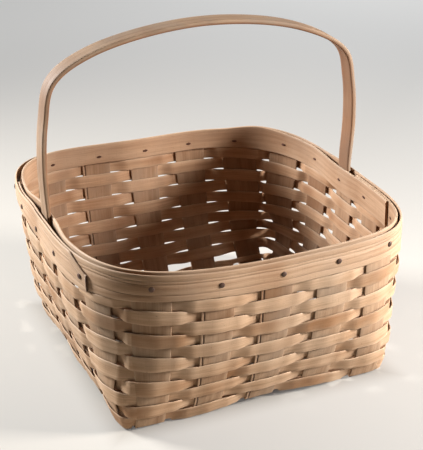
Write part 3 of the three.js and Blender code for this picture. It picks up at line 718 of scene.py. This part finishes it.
def splint(along_x, i):
    """One splint: up a wall, over the domed base where it weaves with the others, and up
    the opposite wall. Both bends are quadratic curves from the base to the wall. Some
    have a split, a groove with the profile of a bell curve."""
    number = i + (SPLINTS_EACH_WAY if along_x else 0)
    low, high = (LEFT, RIGHT) if along_x else (FRONT, BACK)
    crossed_wall = FRONT if along_x else RIGHT
    shares = across_shares(SPLINT_WIDTH, SPLINT_EDGE, plain=7)
    is_split = not along_x and i in SPLIT_SPLINTS
    if is_split:
        line = (SPLIT_FROM_EDGE + SPLIT_WIDTH * np.array([-1.6, -0.8, 0.0, 0.8, 1.6])) / SPLINT_WIDTH
        shares = np.sort(np.concatenate([shares, line]))
    columns = 2 * shares - 1
    base_middle, base_half = upright_place(low, i, 0.0)
    lateral = base_middle + columns * base_half

    def place(along, z):
        """Points across the splint at a distance along it and a height."""
        x, y = (along, lateral) if along_x else (lateral, along)
        return np.stack(np.broadcast_arrays(x, y, z), -1)

    def layer(j, along):
        """Height of the middle surface where it crosses splint j."""
        at = place(along, 0.0)
        is_upper = ((i + j) % 2 == 0) != along_x
        step = LAYER_STEP if is_upper else -LAYER_STEP
        return BASE_MIDDLE + step + base_lift(at[..., 0], at[..., 1])

    def edge_level(wall):
        """Height of the base where it meets a wall, for each column."""
        j = 0 if WALL_SIDE[wall] < 0 else SPLINTS_EACH_WAY - 1
        reach = WALL_SIDE[wall] * (BASE_WIDTH if along_x else BASE_DEPTH) / 2
        return layer(j, reach)

    def wall_angle(wall, z):
        """Direction angles of the splint's columns on a wall."""
        middle, half = upright_place(wall, i, z)
        return angle_on_wall(wall, middle + columns * half, z)

    def upright(wall):
        """The part on a wall. Its cup and sway begin gently above the bend."""
        lowest = edge_level(wall) + BEND_RADIUS
        top_angle = wall_angle(wall, RIM_HEIGHT)
        top = RIM_HEIGHT + rim_shape(top_angle) - dip(top_angle) - SPLINT_TOP_BELOW_RIM
        share = np.linspace(0, 1, UPRIGHT_STATIONS)[:, None] ** 1.15
        z = lowest + (top - lowest) * share
        angle = wall_angle(wall, z)
        sway = waver(z[:, :1], number + 40 * wall, SPLINT_SWAY, 46) * smooth(share * 8)
        cup = SPLINT_CUP * (1 - columns ** 2) * smooth(share * 4)
        return wall_point(angle, z, cup + sway), wall_normal(angle, z)

    def bend(wall):
        """The bend from the base up to a wall."""
        level = edge_level(wall)
        reach = wall_point(wall_angle(wall, level), level)[:, 0 if along_x else 1]
        corner = place(reach, level)
        inner = place(reach - WALL_SIDE[wall] * BEND_RADIUS, level)
        z = level + BEND_RADIUS
        angle = wall_angle(wall, z)
        outer = wall_point(angle, z)
        t = np.linspace(0, 1, 9)[:-1, None, None]
        points = inner * (1 - t) ** 2 + corner * 2 * t * (1 - t) + outer * t * t
        normals = wall_normal(angle, z) * t + np.array([0, 0, -1.0]) * (1 - t)
        return points, unit(normals)

    def base():
        """The part in the base, over or under each splint that crosses it."""
        alongs, heights = [], []
        for j in range(SPLINTS_EACH_WAY):
            middle, half = upright_place(crossed_wall, j, 0.0)
            on = middle + half * np.linspace(-1, 1, 6)[:, None]
            alongs.append(on)
            heights.append(layer(j, on))
            if j < SPLINTS_EACH_WAY - 1:
                next_middle, next_half = upright_place(crossed_wall, j + 1, 0.0)
                gap = next_middle - next_half - middle - half
                t = np.linspace(0, 1, 7)[1:-1, None]
                off = middle + half + gap * t
                alongs.append(off)
                heights.append(layer(j, off) * (1 - smooth(t)) + layer(j + 1, off) * smooth(t))
        points = place(np.concatenate(alongs), np.concatenate(heights))
        return points, np.broadcast_to([0, 0, -1.0], points.shape)

    going_down = [[grid[::-1] for grid in part(low)] for part in (upright, bend)]
    pieces = [*going_down, base(), bend(high), upright(high)]
    middle, normal = (np.concatenate(grids) for grids in zip(*pieces))
    width = np.linalg.norm(middle[:, -1] - middle[:, 0], axis=1)[:, None]
    half = rounded(shares, width, SPLINT_THICKNESS, SPLINT_EDGE)
    marks = None
    if is_split:
        apart = (shares * SPLINT_WIDTH - SPLIT_FROM_EDGE) / SPLIT_WIDTH
        groove_and_end_shade = np.exp(-apart ** 2) * np.ones_like(width)
        if i == MIDDLE_SPLINT:
            groove_and_end_shade = groove_and_end_shade * smooth(-middle[..., 1] / SPLIT_FADE)
        half = half * (1 - SPLIT_DEPTH * groove_and_end_shade)
        marks = {"groove_and_end_shade": groove_and_end_shade}
    names = "side_splint" if along_x else "front_splint"
    return strip_object(f"{names}_{i + 1}", middle, normal, half, half, False, 20 + number, marks)


def outer_hoop_shift(angle):
    """How far the outer hoop stands out: its last end lies over its first."""
    begins = rim_angle(LEFT, OUTER_LAP_START)
    before = (begins - angle) * WALL_HALF_Y
    return LAP_STEP * smooth((LAP_FLAT + LAP_RISE - before) / LAP_RISE)


def foot_bulge(angle, wall, foot_y):
    """Inward bulge of the inner hoop round one foot of the handle."""
    y = wall_point(angle, RIM_HEIGHT)[..., 1]
    on_wall = np.cos(angle) * WALL_SIDE[wall] > 0
    beyond = np.abs(y - foot_y) - HANDLE_WIDTH / 2 - FOOT_BULGE_CLEAR
    bulge = (HANDLE_THICKNESS + SEAT_GAP) * (1 - smooth(beyond / FOOT_BULGE_FALL))
    return np.where(on_wall, bulge, 0.0)


def inner_hoop_shift(angle):
    """How far the inner hoop stands inwards: its first end lies over its last."""
    ends = rim_angle(RIGHT, INNER_LAP_END)
    lap = LAP_STEP * (1 - smooth(((angle - ends) * WALL_HALF_Y - LAP_FLAT) / LAP_RISE))
    left = foot_bulge(angle, LEFT, LEFT_FOOT_Y)
    right = foot_bulge(angle, RIGHT, RIGHT_FOOT_Y)
    return np.where(angle > FULL_TURN / 2, left, np.maximum(lap, np.maximum(left, right)))


def hoop(name, start, end, offset, lower, upper, columns, edges, seed, planed=0.0, lines=()):
    """A hoop: a strip bent round the wall between two angles, offset from it. Its edges
    stray from the rim's by lower and upper. columns are heights above its lower edge,
    edges the radii outside and inside, and planed is what has been taken off outside.
    What lies between the edges wanders a little up and down, the lines are dark, and the last end is
    darkened as painted shade of its end face and the shadow beside it."""
    count = int((end - start) / FULL_TURN * HOOP_STATIONS)
    angle = np.linspace(start, end, count)
    edge_low = HOOP_BOTTOM + rim_shape(angle) + lower(angle)
    edge_high = RIM_HEIGHT + rim_shape(angle) - dip(angle) + upper(angle)
    share = np.array(columns) / columns[-1]
    wander = waver_round(angle, seed + 3, *HOOP_WANDER)[:, None] * 4 * share * (1 - share)
    z = edge_low[:, None] + (edge_high - edge_low)[:, None] * share + wander
    around = np.broadcast_to(angle[:, None], z.shape)
    laid = np.broadcast_to(offset(angle)[:, None], z.shape)
    flat = np.full_like(z, RIM_HEIGHT)
    middle = wall_point(around, flat, laid)
    middle[..., 2] = z
    outside, inside = (rounded(share, columns[-1], HOOP_THICKNESS, radius) for radius in edges)
    outer = np.maximum(outside - planed, 0) * (1 + waver_round(angle, seed, *HOOP_UNEVEN)[:, None])
    inner = np.broadcast_to(inside, z.shape)
    faded = LINE_DARK + waver_round(angle, seed + 5, *LINE_UNEVEN)[:, None]
    groove_and_end_shade = np.clip(np.isin(columns, lines) * faded, 0, 1)
    # The last end is darkened: painted shade
    groove_and_end_shade[-1] = END_PAINTED_SHADE
    normal = wall_normal(around, flat)
    return strip_object(name, middle, normal, outer, inner, False, seed, {"groove_and_end_shade": groove_and_end_shade})


def outer_hoop():
    """The outer hoop has a bevel along each edge, parted from its flat by a fine line,
    and its last end is cut to a slope."""
    start = rim_angle(LEFT, OUTER_LAP_START) - FULL_TURN
    end = rim_angle(LEFT, OUTER_LAP_END)
    columns = np.array(OUTER_HOOP_COLUMNS)
    below, above = HOOP_LINES[0], HOOP_HEIGHT - HOOP_LINES[-1]
    lower_bevel = LOWER_BEVEL * (1 - np.clip(columns / below, 0, 1))
    upper_bevel = UPPER_BEVEL * (1 - np.clip((HOOP_HEIGHT - columns) / above, 0, 1))
    line = LINE_DEPTH * np.isin(columns, HOOP_LINES)
    planed = lower_bevel + upper_bevel + line

    def upper(angle):
        before_end = (end - angle) * WALL_HALF_Y
        cut = END_CUT_DEPTH * np.maximum(1 - before_end / END_CUT_LENGTH, 0)
        uneven = waver_round(angle, 6, *OUTER_UPPER_WANDER)
        return uneven - cut + RIGHT_RISE * in_span(angle, RIGHT_RISE_SPAN)

    return hoop("outer_hoop_bent", start, end,
                lambda a: HOOP_OFFSET + outer_hoop_shift(a),
                lambda a: waver_round(a, 5, *OUTER_LOWER_WANDER) - sag(a),
                upper, columns, (OUTER_HOOP_EDGE, HOOP_EDGE), 41, planed, HOOP_LINES)


def inner_hoop():
    """The inner hoop is plain, a little higher, and bulges round the handle's feet."""
    start = rim_angle(RIGHT, INNER_LAP_START)
    end = rim_angle(RIGHT, INNER_LAP_END) + FULL_TURN
    return hoop("inner_hoop_bent", start, end,
                lambda a: -HOOP_OFFSET - inner_hoop_shift(a),
                lambda a: waver_round(a, 7, *INNER_LOWER_WANDER),
                lambda a: INNER_HOOP_STANDS_UP - RIGHT_DROP * in_span(a, RIGHT_DROP_SPAN),
                INNER_HOOP_COLUMNS, (HOOP_EDGE, INNER_HOOP_EDGE), 42)


def on_line(t, t0, t1, value0, value1):
    """The value at t on the line through value0 at t0 and value1 at t1."""
    return (t1 - t) / (t1 - t0) * value0 + (t - t0) / (t1 - t0) * value1


def handle_path(count):
    """count points along the handle's middle line, evenly spaced. The line is a smooth
    curve through feet, shoulder points and crown: between two of them it mixes the
    straight lines through their neighbours, and its knots lie as far apart as the square
    root of the distance."""
    foot_x = WALL_HALF_X - SPLINT_THICKNESS / 2 - SEAT_GAP - HANDLE_THICKNESS / 2
    foot_z = HOOP_BOTTOM + HANDLE_FOOT_ABOVE_HOOP_EDGE
    crown = CROWN_HEIGHT - HANDLE_THICKNESS / 2
    rise = crown - RIM_HEIGHT

    def half(side, bend):
        points = [(side * foot_x, foot_z), (side * foot_x, RIM_HEIGHT + HANDLE_STRAIGHT_ABOVE_RIM)]
        points += [(side * foot_x * (1 - inwards), RIM_HEIGHT + rise * up) for inwards, up in bend]
        return points

    flat = half(-1, LEFT_BEND) + [(0.0, crown)] + half(1, RIGHT_BEND)[::-1]
    x = np.array([p[0] for p in flat])
    z = np.array([p[1] for p in flat])
    y = (LEFT_FOOT_Y + RIGHT_FOOT_Y) / 2 + (RIGHT_FOOT_Y - LEFT_FOOT_Y) * x / (2 * foot_x)
    p = np.stack([x, y, z], -1)
    p = np.concatenate([[2 * p[0] - p[1]], p, [2 * p[-1] - p[-2]]])
    knots = running(np.linalg.norm(np.diff(p, axis=0), axis=1) ** 0.5)
    curve = []
    for i in range(1, len(p) - 2):
        t = np.linspace(knots[i], knots[i + 1], HANDLE_CURVE_STEPS)[:-1, None]
        t0, t1, t2, t3 = knots[i - 1:i + 3]
        a1 = on_line(t, t0, t1, p[i - 1], p[i])
        a2 = on_line(t, t1, t2, p[i], p[i + 1])
        a3 = on_line(t, t2, t3, p[i + 1], p[i + 2])
        b1 = on_line(t, t0, t2, a1, a2)
        b2 = on_line(t, t1, t3, a2, a3)
        curve.append(on_line(t, t1, t2, b1, b2))
    curve.append(p[-2:-1])
    curve = np.concatenate(curve)
    length = running(np.linalg.norm(np.diff(curve, axis=0), axis=1))
    even = np.linspace(0, length[-1], count)
    return np.stack([np.interp(even, length, curve[:, axis]) for axis in range(3)], -1)


def handle():
    """The handle: a flat strip with its edges eased, along its middle line. It is a
    little thicker above the rim than between the hoops."""
    path = handle_path(HANDLE_STATIONS)
    tangent = np.gradient(path, axis=0)
    tangent[:, 1] = 0
    level = np.array([0, 1.0, 0])
    normal = unit(np.cross(tangent, level))
    reach = np.linspace(0, HANDLE_LENGTH, len(path))
    width = HANDLE_WIDTH + waver(reach, 9, *HANDLE_WANDER)
    shares = across_shares(HANDLE_WIDTH, HANDLE_EDGE, plain=6)
    across = (shares - 0.5) * width[:, None]
    middle = path[:, None, :] + across[..., None] * level
    thickness = HANDLE_THICKNESS + HANDLE_EXTRA * smooth((path[:, 2:] - RIM_HEIGHT) / HANDLE_EXTRA_RISE)
    half = rounded(shares, width[:, None], thickness, HANDLE_EDGE)
    normals = np.broadcast_to(normal[:, None, :], middle.shape)
    return strip_object("handle_bent", middle, normals, half, half, False, 43)


def tack(wall, i):
    """A tack, turned from a profile round its own line: a clinched point inside, the
    shank, and a domed hand-made head outside."""
    middle, _ = upright_place(wall, i, RIM_HEIGHT)
    angle = float(rim_angle(wall, middle + TACK_STRAY[wall, i]))
    outer_end = rim_angle(LEFT, OUTER_LAP_END)
    inner_start = rim_angle(RIGHT, INNER_LAP_START)
    outer_angle = angle - FULL_TURN if angle > outer_end else angle
    inner_angle = angle + FULL_TURN if angle < inner_start else angle
    outside = HOOP_OFFSET + HOOP_THICKNESS / 2 + float(outer_hoop_shift(outer_angle))
    inside = -HOOP_OFFSET - HOOP_THICKNESS / 2 - float(inner_hoop_shift(inner_angle))
    dome = np.linspace(0, math.pi / 2, 7)
    bulb = np.linspace(0, math.pi / 2, 5)
    profile = [(TACK_CLINCH_RADIUS * math.sin(t), inside - TACK_CLINCH_HEIGHT * math.cos(t)) for t in bulb]
    profile += [(TACK_SHANK_RADIUS, inside + 0.2), (TACK_SHANK_RADIUS, outside)]
    profile += [(TACK_HEAD_RADIUS * 0.9, outside)]
    brim, rise = outside + TACK_HEAD_RIM, TACK_HEAD_HEIGHT - TACK_HEAD_RIM
    profile += [(TACK_HEAD_RADIUS * math.cos(t), brim + rise * math.sin(t)) for t in dome]
    radius = np.array([r for r, _ in profile])
    along = np.array([a for _, a in profile])
    turn = np.linspace(0, FULL_TURN, TACK_SIDES, endpoint=False)
    seed = wall * SPLINTS_EACH_WAY + i
    uneven = 1 + waver(turn, seed, TACK_UNEVEN, FULL_TURN)
    reach = radius[:, None] * uneven
    stretch = np.where(along < inside, TACK_CLINCH_STRETCH, 1.0)[:, None]
    normal = wall_normal(angle, RIM_HEIGHT)
    side = np.array([-normal[1], normal[0], 0])
    centre = wall_point(angle, RIM_HEIGHT)
    centre[2] = RIM_HEIGHT - HOOP_HEIGHT / 2 - TACK_DROP[wall] + rim_shape(angle)
    points = centre + normal * along[:, None, None]
    points = points + side * (reach * stretch * np.cos(turn))[..., None]
    points = points + np.array([0, 0, 1.0]) * (reach * np.sin(turn))[..., None]
    index = np.arange(reach.size).reshape(reach.shape)
    index[0] = index[0, 0]
    index[-1] = index[-1, 0]
    after = np.roll(index, -1, axis=1)
    quads = np.stack([index[:-1], after[:-1], after[1:], index[1:]], -1).reshape(-1, 4)
    points = points.reshape(-1, 3)
    uv = points[quads][..., [0, 2]] + np.array([seed * 31, 0])
    head = (along > outside)[:, None] * np.ones(TACK_SIDES)
    return mesh_object(f"tack_head_{WALL_NAMES[wall]}_{i + 1}", points, quads, uv, {"head": head})


def colour(red, green, blue):
    """An sRGB colour of 0 to 255 as a linear colour for a shader."""
    srgb = np.array([red, green, blue]) / 255
    linear = np.where(srgb <= 0.04045, srgb / 12.92, ((srgb + 0.055) / 1.055) ** 2.4)
    return (*linear, 1.0)


class Nodes:
    """Short calls that add nodes to a material or a group and join them."""

    def __init__(self, tree):
        self.tree = tree

    def add(self, kind, links=None, **settings):
        node = self.tree.nodes.new(kind)
        for key, value in settings.items():
            setattr(node, key, value)
        return self.join(node, links or {})

    def join(self, node, links):
        """Gives inputs of a node their values, or joins them to outputs of others."""
        for key, value in links.items():
            if isinstance(value, bpy.types.NodeSocket):
                self.tree.links.new(value, node.inputs[key])
            else:
                node.inputs[key].default_value = value
        return node

    def times(self, a, b, clamp=False):
        return self.maths("MULTIPLY", a, b, clamp)

    def maths(self, operation, a, b=0.0, clamp=False):
        return self.add("ShaderNodeMath", {0: a, 1: b}, operation=operation, use_clamp=clamp).outputs[0]

    def blend(self, share, a, b, mode="MIX"):
        links = {0: share, 6: a, 7: b}
        return self.add("ShaderNodeMix", links, data_type="RGBA", blend_type=mode).outputs[2]

    def stretch(self, value, low, high, new_low=0.0, new_high=1.0):
        links = {0: value, 1: low, 2: high, 3: new_low, 4: new_high}
        return self.add("ShaderNodeMapRange", links, interpolation_type="SMOOTHSTEP").outputs[0]

    def noise(self, vector, scale, detail=2.0, roughness=0.5, distortion=0.0):
        links = {"Vector": vector, "Scale": scale, "Detail": detail, "Roughness": roughness,
                 "Distortion": distortion}
        return self.add("ShaderNodeTexNoise", links).outputs[0]

    def scaled(self, vector, scale):
        return self.add("ShaderNodeVectorMath", {0: vector, 1: scale}, operation="MULTIPLY").outputs[0]

    def attribute(self, name):
        return self.add("ShaderNodeAttribute", attribute_name=name).outputs["Fac"]

    def relief(self, strength, distance, height):
        links = {"Strength": strength, "Distance": distance, "Height": height}
        return self.add("ShaderNodeBump", links).outputs[0]


def new_material(name):
    """A new material, with its node helper and its shader."""
    material = bpy.data.materials.new(name)
    material.use_nodes = True
    return material, Nodes(material.node_tree), material.node_tree.nodes["Principled BSDF"]


def split_wood_group():
    """The look of split ash. Fibres and growth bands run along U, faint checks run across them, larger
    patches are darker or greyer, edges are worn pale, and split lines and hoop lines are dark. The hoops'
    last ends are darkened as painted shade, and the faces turned to the inside are darkened as painted
    shade of the basket's inside."""
    tree = bpy.data.node_groups.new("split_wood", "ShaderNodeTree")
    for way, names in (("INPUT", WOOD_INPUTS), ("OUTPUT", ("Color", "Roughness", "Height"))):
        for name in names:
            kind = "Color" if name in ("Light", "Dark", "Grey", "Color") else "Float"
            tree.interface.new_socket(name, in_out=way, socket_type="NodeSocket" + kind)
    n = Nodes(tree)
    given = n.add("NodeGroupInput").outputs
    uv = n.add("ShaderNodeUVMap", uv_map="UVMap").outputs[0]
    place = n.add("ShaderNodeTexCoord").outputs["Object"]

    def grain(along, across, *settings):
        """Noise with one scale along the strip and another across it."""
        return n.noise(n.scaled(uv, (along, across, 1.0)), 1.0, *settings)

    fibres = grain(30.0, 1500.0, 3.0, 0.6)
    bands = grain(5.0, 210.0, 2.0, 0.5, 0.4)
    pores = grain(90.0, 2600.0, 1.0, 0.5)
    checks = grain(1100.0, 60.0, 2.0, 0.6)
    strips = grain(14.0, 9.0, 2.0, 0.5)
    patches = n.noise(place, 16.0, 3.0, 0.6)
    specks = n.noise(place, 330.0, 2.0, 0.6)

    pore = n.stretch(pores, 0.63, 0.76, 0.0, 0.5)
    check = n.stretch(checks, 0.56, 0.74, 0.0, 0.22)
    worn = n.times(n.attribute("edge"), given["Edge wear"])
    # Each layer: its share of the colour, its own colour, and how it is laid on
    layers = [
        (n.stretch(bands, 0.34, 0.72, 0.0, 0.4), given["Dark"], "MIX"),
        (n.stretch(fibres, 0.36, 0.7, 0.0, 0.3), given["Dark"], "MIX"),
        (n.times(n.stretch(strips, 0.44, 0.7), given["Patchiness"]), given["Dark"], "MIX"),
        (n.times(n.stretch(patches, 0.42, 0.68), given["Greyness"]), given["Grey"], "MIX"),
        (pore, (0.5, 0.36, 0.26, 1.0), "MULTIPLY"),
        (check, (0.55, 0.45, 0.37, 1.0), "MULTIPLY"),
        # Faces turned to the inside are darkened orange-brown: painted shade of the basket's inside
        (n.times(n.attribute("inside"), given["Inside painted shade"]), (0.7, 0.3, 0.04, 1.0), "MULTIPLY"),
        (n.stretch(specks, 0.7, 0.8, 0.0, 0.5), (0.35, 0.25, 0.2, 1.0), "MULTIPLY"),
        (n.times(worn, n.stretch(fibres, 0.3, 0.6, 0.5, 1.0), clamp=True), colour(*WORN), "MIX"),
        # Split lines and hoop lines are dark, and the hoops' last ends carry painted shade
        (n.attribute("groove_and_end_shade"), colour(*DARK_LINE_AND_END_SHADE), "MIX"),
    ]
    wood = given["Light"]
    for share, tint, mode in layers:
        wood = n.blend(share, wood, tint, mode)
    rough = n.stretch(fibres, 0.3, 0.7, 0.52, 0.74)
    height = n.maths("ADD", n.times(fibres, 0.5), n.times(bands, 0.6))
    height = n.maths("SUBTRACT", height, n.times(pore, 0.5))
    height = n.maths("SUBTRACT", height, n.times(check, 0.35))
    n.add("NodeGroupOutput", {"Color": wood, "Roughness": rough, "Height": height})
    return tree


def wood_material(name, group):
    """Split wood. It passes on little of the light that it gets from other wood, so that
    the inside of the basket stays dark."""
    material, n, shader = new_material(name)
    *amounts, bump = WOODS[name]
    amounts = [colour(*value) if isinstance(value, tuple) else value for value in amounts]
    look = n.add("ShaderNodeGroup", dict(zip(WOOD_INPUTS, amounts)), node_tree=group)
    passed_on = n.add("ShaderNodeLightPath").outputs["Is Diffuse Ray"]
    n.join(shader, {
        "Base Color": n.blend(passed_on, look.outputs["Color"], PASSED_ON, "MULTIPLY"),
        "Roughness": look.outputs["Roughness"],
        "Normal": n.relief(bump, WOOD_RELIEF, look.outputs["Height"]),
        "Specular IOR Level": 0.35,
    })
    return material


def iron_material():
    """Old iron: dark grey-brown metal, duller and redder where it has rusted, and rusty
    all over at the clinched points inside."""
    material, n, shader = new_material("tack_iron")
    place = n.add("ShaderNodeTexCoord").outputs["Object"]
    rust = n.stretch(n.noise(place, 900.0, 3.0, 0.6), 0.4, 0.62)
    rust = n.maths("MAXIMUM", rust, n.maths("SUBTRACT", 1.0, n.attribute("head")))
    grain = n.noise(place, 2600.0, 2.0, 0.6)
    n.join(shader, {
        "Base Color": n.blend(rust, colour(*IRON), colour(*RUST)),
        "Metallic": n.stretch(rust, 0.0, 1.0, 0.85, 0.1),
        "Roughness": n.stretch(rust, 0.0, 1.0, 0.42, 0.85),
        "Normal": n.relief(0.5, IRON_RELIEF, grain),
    })
    return material


def dress(piece, material, slot, *nodes):
    """Gives a piece its material, lets it ride, and stands it for its nodes. Its slot is not used."""
    piece.data.materials.append(material)
    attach(piece, "root")
    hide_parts(*nodes)


def make_basket():
    """Makes every piece of the basket, and stands it for its node."""
    group = split_wood_group()
    splint_wood, weaver_wood, hoop_wood, handle_wood = (wood_material(name, group) for name in WOODS)
    iron = iron_material()
    for i in range(SPLINTS_EACH_WAY):
        dress(splint(False, i), splint_wood, "splint_wood", f"front_back_splint_{i + 1}")
        dress(splint(True, i), splint_wood, "splint_wood", f"side_to_side_splint_{i + 1}")
    for row in range(1, WEAVER_ROWS + 1):
        dress(weaver(row), weaver_wood, "weaver_wood", f"weaver_row_{row:02d}")
    dress(outer_hoop(), hoop_wood, "hoop_wood", "outer_rim_hoop")
    dress(inner_hoop(), hoop_wood, "hoop_wood", "inner_rim_hoop")
    dress(handle(), handle_wood, "handle_wood", "handle")
    for wall, name in enumerate(WALL_NAMES):
        for i in range(SPLINTS_EACH_WAY):
            dress(tack(wall, i), iron, "tack_iron", f"tack_{name}_{i + 1}")


def seen(n):
    """1 for light paths that show the background itself, 0 for those that light things."""
    path = n.add("ShaderNodeLightPath").outputs
    shown = n.maths("MAXIMUM", path["Is Camera Ray"], path["Is Glossy Ray"])
    return n.maths("MAXIMUM", shown, path["Is Transmission Ray"])


def paper_material():
    """Pale paper: matt, with a glow for the camera alone, which keeps the basket's shadow on it soft. The
    glow fades out under the basket, which paints a shadow there; it grows with the distance from the
    basket, which paints shade near it; and it is stronger at the right, across the line of sight, which
    paints light there."""
    material, n, shader = new_material("pale_paper")
    place = n.add("ShaderNodeTexCoord").outputs["Object"]
    parts = n.add("ShaderNodeSeparateXYZ", {0: place}).outputs
    reach = n.maths("MAXIMUM", n.maths("ABSOLUTE", parts[0]), n.maths("ABSOLUTE", parts[1]))
    # The glow is taken away under the basket: a painted shadow
    clear_of_painted_shadow = n.stretch(reach, BASE_WIDTH / 2 * METRE * 0.85, BASE_WIDTH / 2 * METRE * 1.2)
    # Weaker glow near the basket: painted shade
    strength = n.stretch(reach, 0.2, 1.2, PAPER_GLOW_NEAR, PAPER_GLOW_FAR)
    # Stronger glow towards the right: painted light
    slope = math.tan(math.radians(-CAMERA_AZIMUTH))
    painted_light_to_right = n.maths("SUBTRACT", parts[0], n.times(parts[1], slope))
    painted_light_to_right = n.stretch(painted_light_to_right, -0.5, 0.5, PAPER_GLOW_LEFT, PAPER_GLOW_RIGHT)
    strength = n.times(strength, painted_light_to_right)
    n.join(shader, {
        "Base Color": colour(*PAPER_COLOUR),
        "Roughness": 0.9,
        "Specular IOR Level": 0.1,
        "Emission Color": PAPER_GLOW_TINT,
        "Emission Strength": n.times(seen(n), n.times(clear_of_painted_shadow, strength)),
    })
    return material


def make_stage():
    """A pale floor that sweeps up into a backdrop behind the basket."""
    radius, front, depth, height, half = 0.5, -2.5, 1.2, 2.2, 3.0
    turn = np.linspace(0, math.pi / 2, 17)
    y = np.concatenate([[front], depth + radius * np.sin(turn), [depth + radius]])
    z = np.concatenate([[0.0], radius * (1 - np.cos(turn)), [height]])
    x = np.array([-half, half])
    points = np.stack([np.repeat(x, len(y)), np.tile(y, 2), np.tile(z, 2)], -1)
    j = np.arange(len(y) - 1)
    quads = np.stack([j, j + len(y), j + len(y) + 1, j + 1], -1)
    mesh = bpy.data.meshes.new("floor")
    mesh.from_pydata(points.tolist(), [], quads.tolist())
    fill(mesh.polygons, "use_smooth", np.ones(len(quads)), bool)
    floor = add_object("floor", mesh)
    mesh.materials.append(paper_material())


def area_light(name, place, target, size, power, tint):
    """A soft rectangular lamp, screened so that most of its light falls on the target."""
    light = bpy.data.lights.new(name, "AREA")
    light.spread = math.radians(LAMP_SPREAD)
    light.shape = "RECTANGLE"
    light.size, light.size_y = size
    light.energy = power
    light.color = tint
    lamp = add_object(name, light)
    way = Vector(target) - Vector(place)
    lamp.matrix_world = way.to_track_quat("-Z", "Y").to_matrix().to_4x4()
    lamp.location = place


def make_light():
    """A key lamp and a weak low one at the right front, and a cooler lamp at the left
    back. The room around gives the object little light, but is pale where it is seen."""
    for name, lamp in LAMPS.items():
        area_light(name, *lamp)
    world = bpy.data.worlds.new("studio")
    world.use_nodes = True
    n = Nodes(world.node_tree)
    strength = n.stretch(seen(n), 0.0, 1.0, ROOM_LIGHT, ROOM_SEEN)
    n.join(world.node_tree.nodes["Background"], {"Color": ROOM_COLOUR, "Strength": strength})
    bpy.context.scene.world = world


def make_camera():
    """The camera looks along its azimuth and elevation, and is turned by its roll."""
    a, e, r = (math.radians(v) for v in (CAMERA_AZIMUTH, CAMERA_ELEVATION, CAMERA_ROLL))
    back = np.array([math.sin(a) * math.cos(e), -math.cos(a) * math.cos(e), math.sin(e)])
    right = unit(np.cross(-back, [0, 0, 1.0]))
    up = np.cross(right, -back)
    turned_right = math.cos(r) * right + math.sin(r) * up
    turned_up = -math.sin(r) * right + math.cos(r) * up
    data = bpy.data.cameras.new("camera")
    data.sensor_width = SENSOR
    data.lens = SENSOR * FOCAL_PIXELS / PHOTO_HEIGHT
    data.shift_x = SHIFT_PIXELS / PHOTO_HEIGHT
    data.clip_end = 20.0
    camera = add_object("camera", data)
    columns = np.eye(4)
    columns[:3, 0], columns[:3, 1], columns[:3, 2] = turned_right, turned_up, back
    columns[:3, 3] = CAMERA_PLACE * METRE
    camera.matrix_world = Matrix(columns.tolist())
    bpy.context.scene.camera = camera


make_basket()
make_stage()
make_light()
make_camera()
bpy.context.scene.view_settings.view_transform = "Standard"
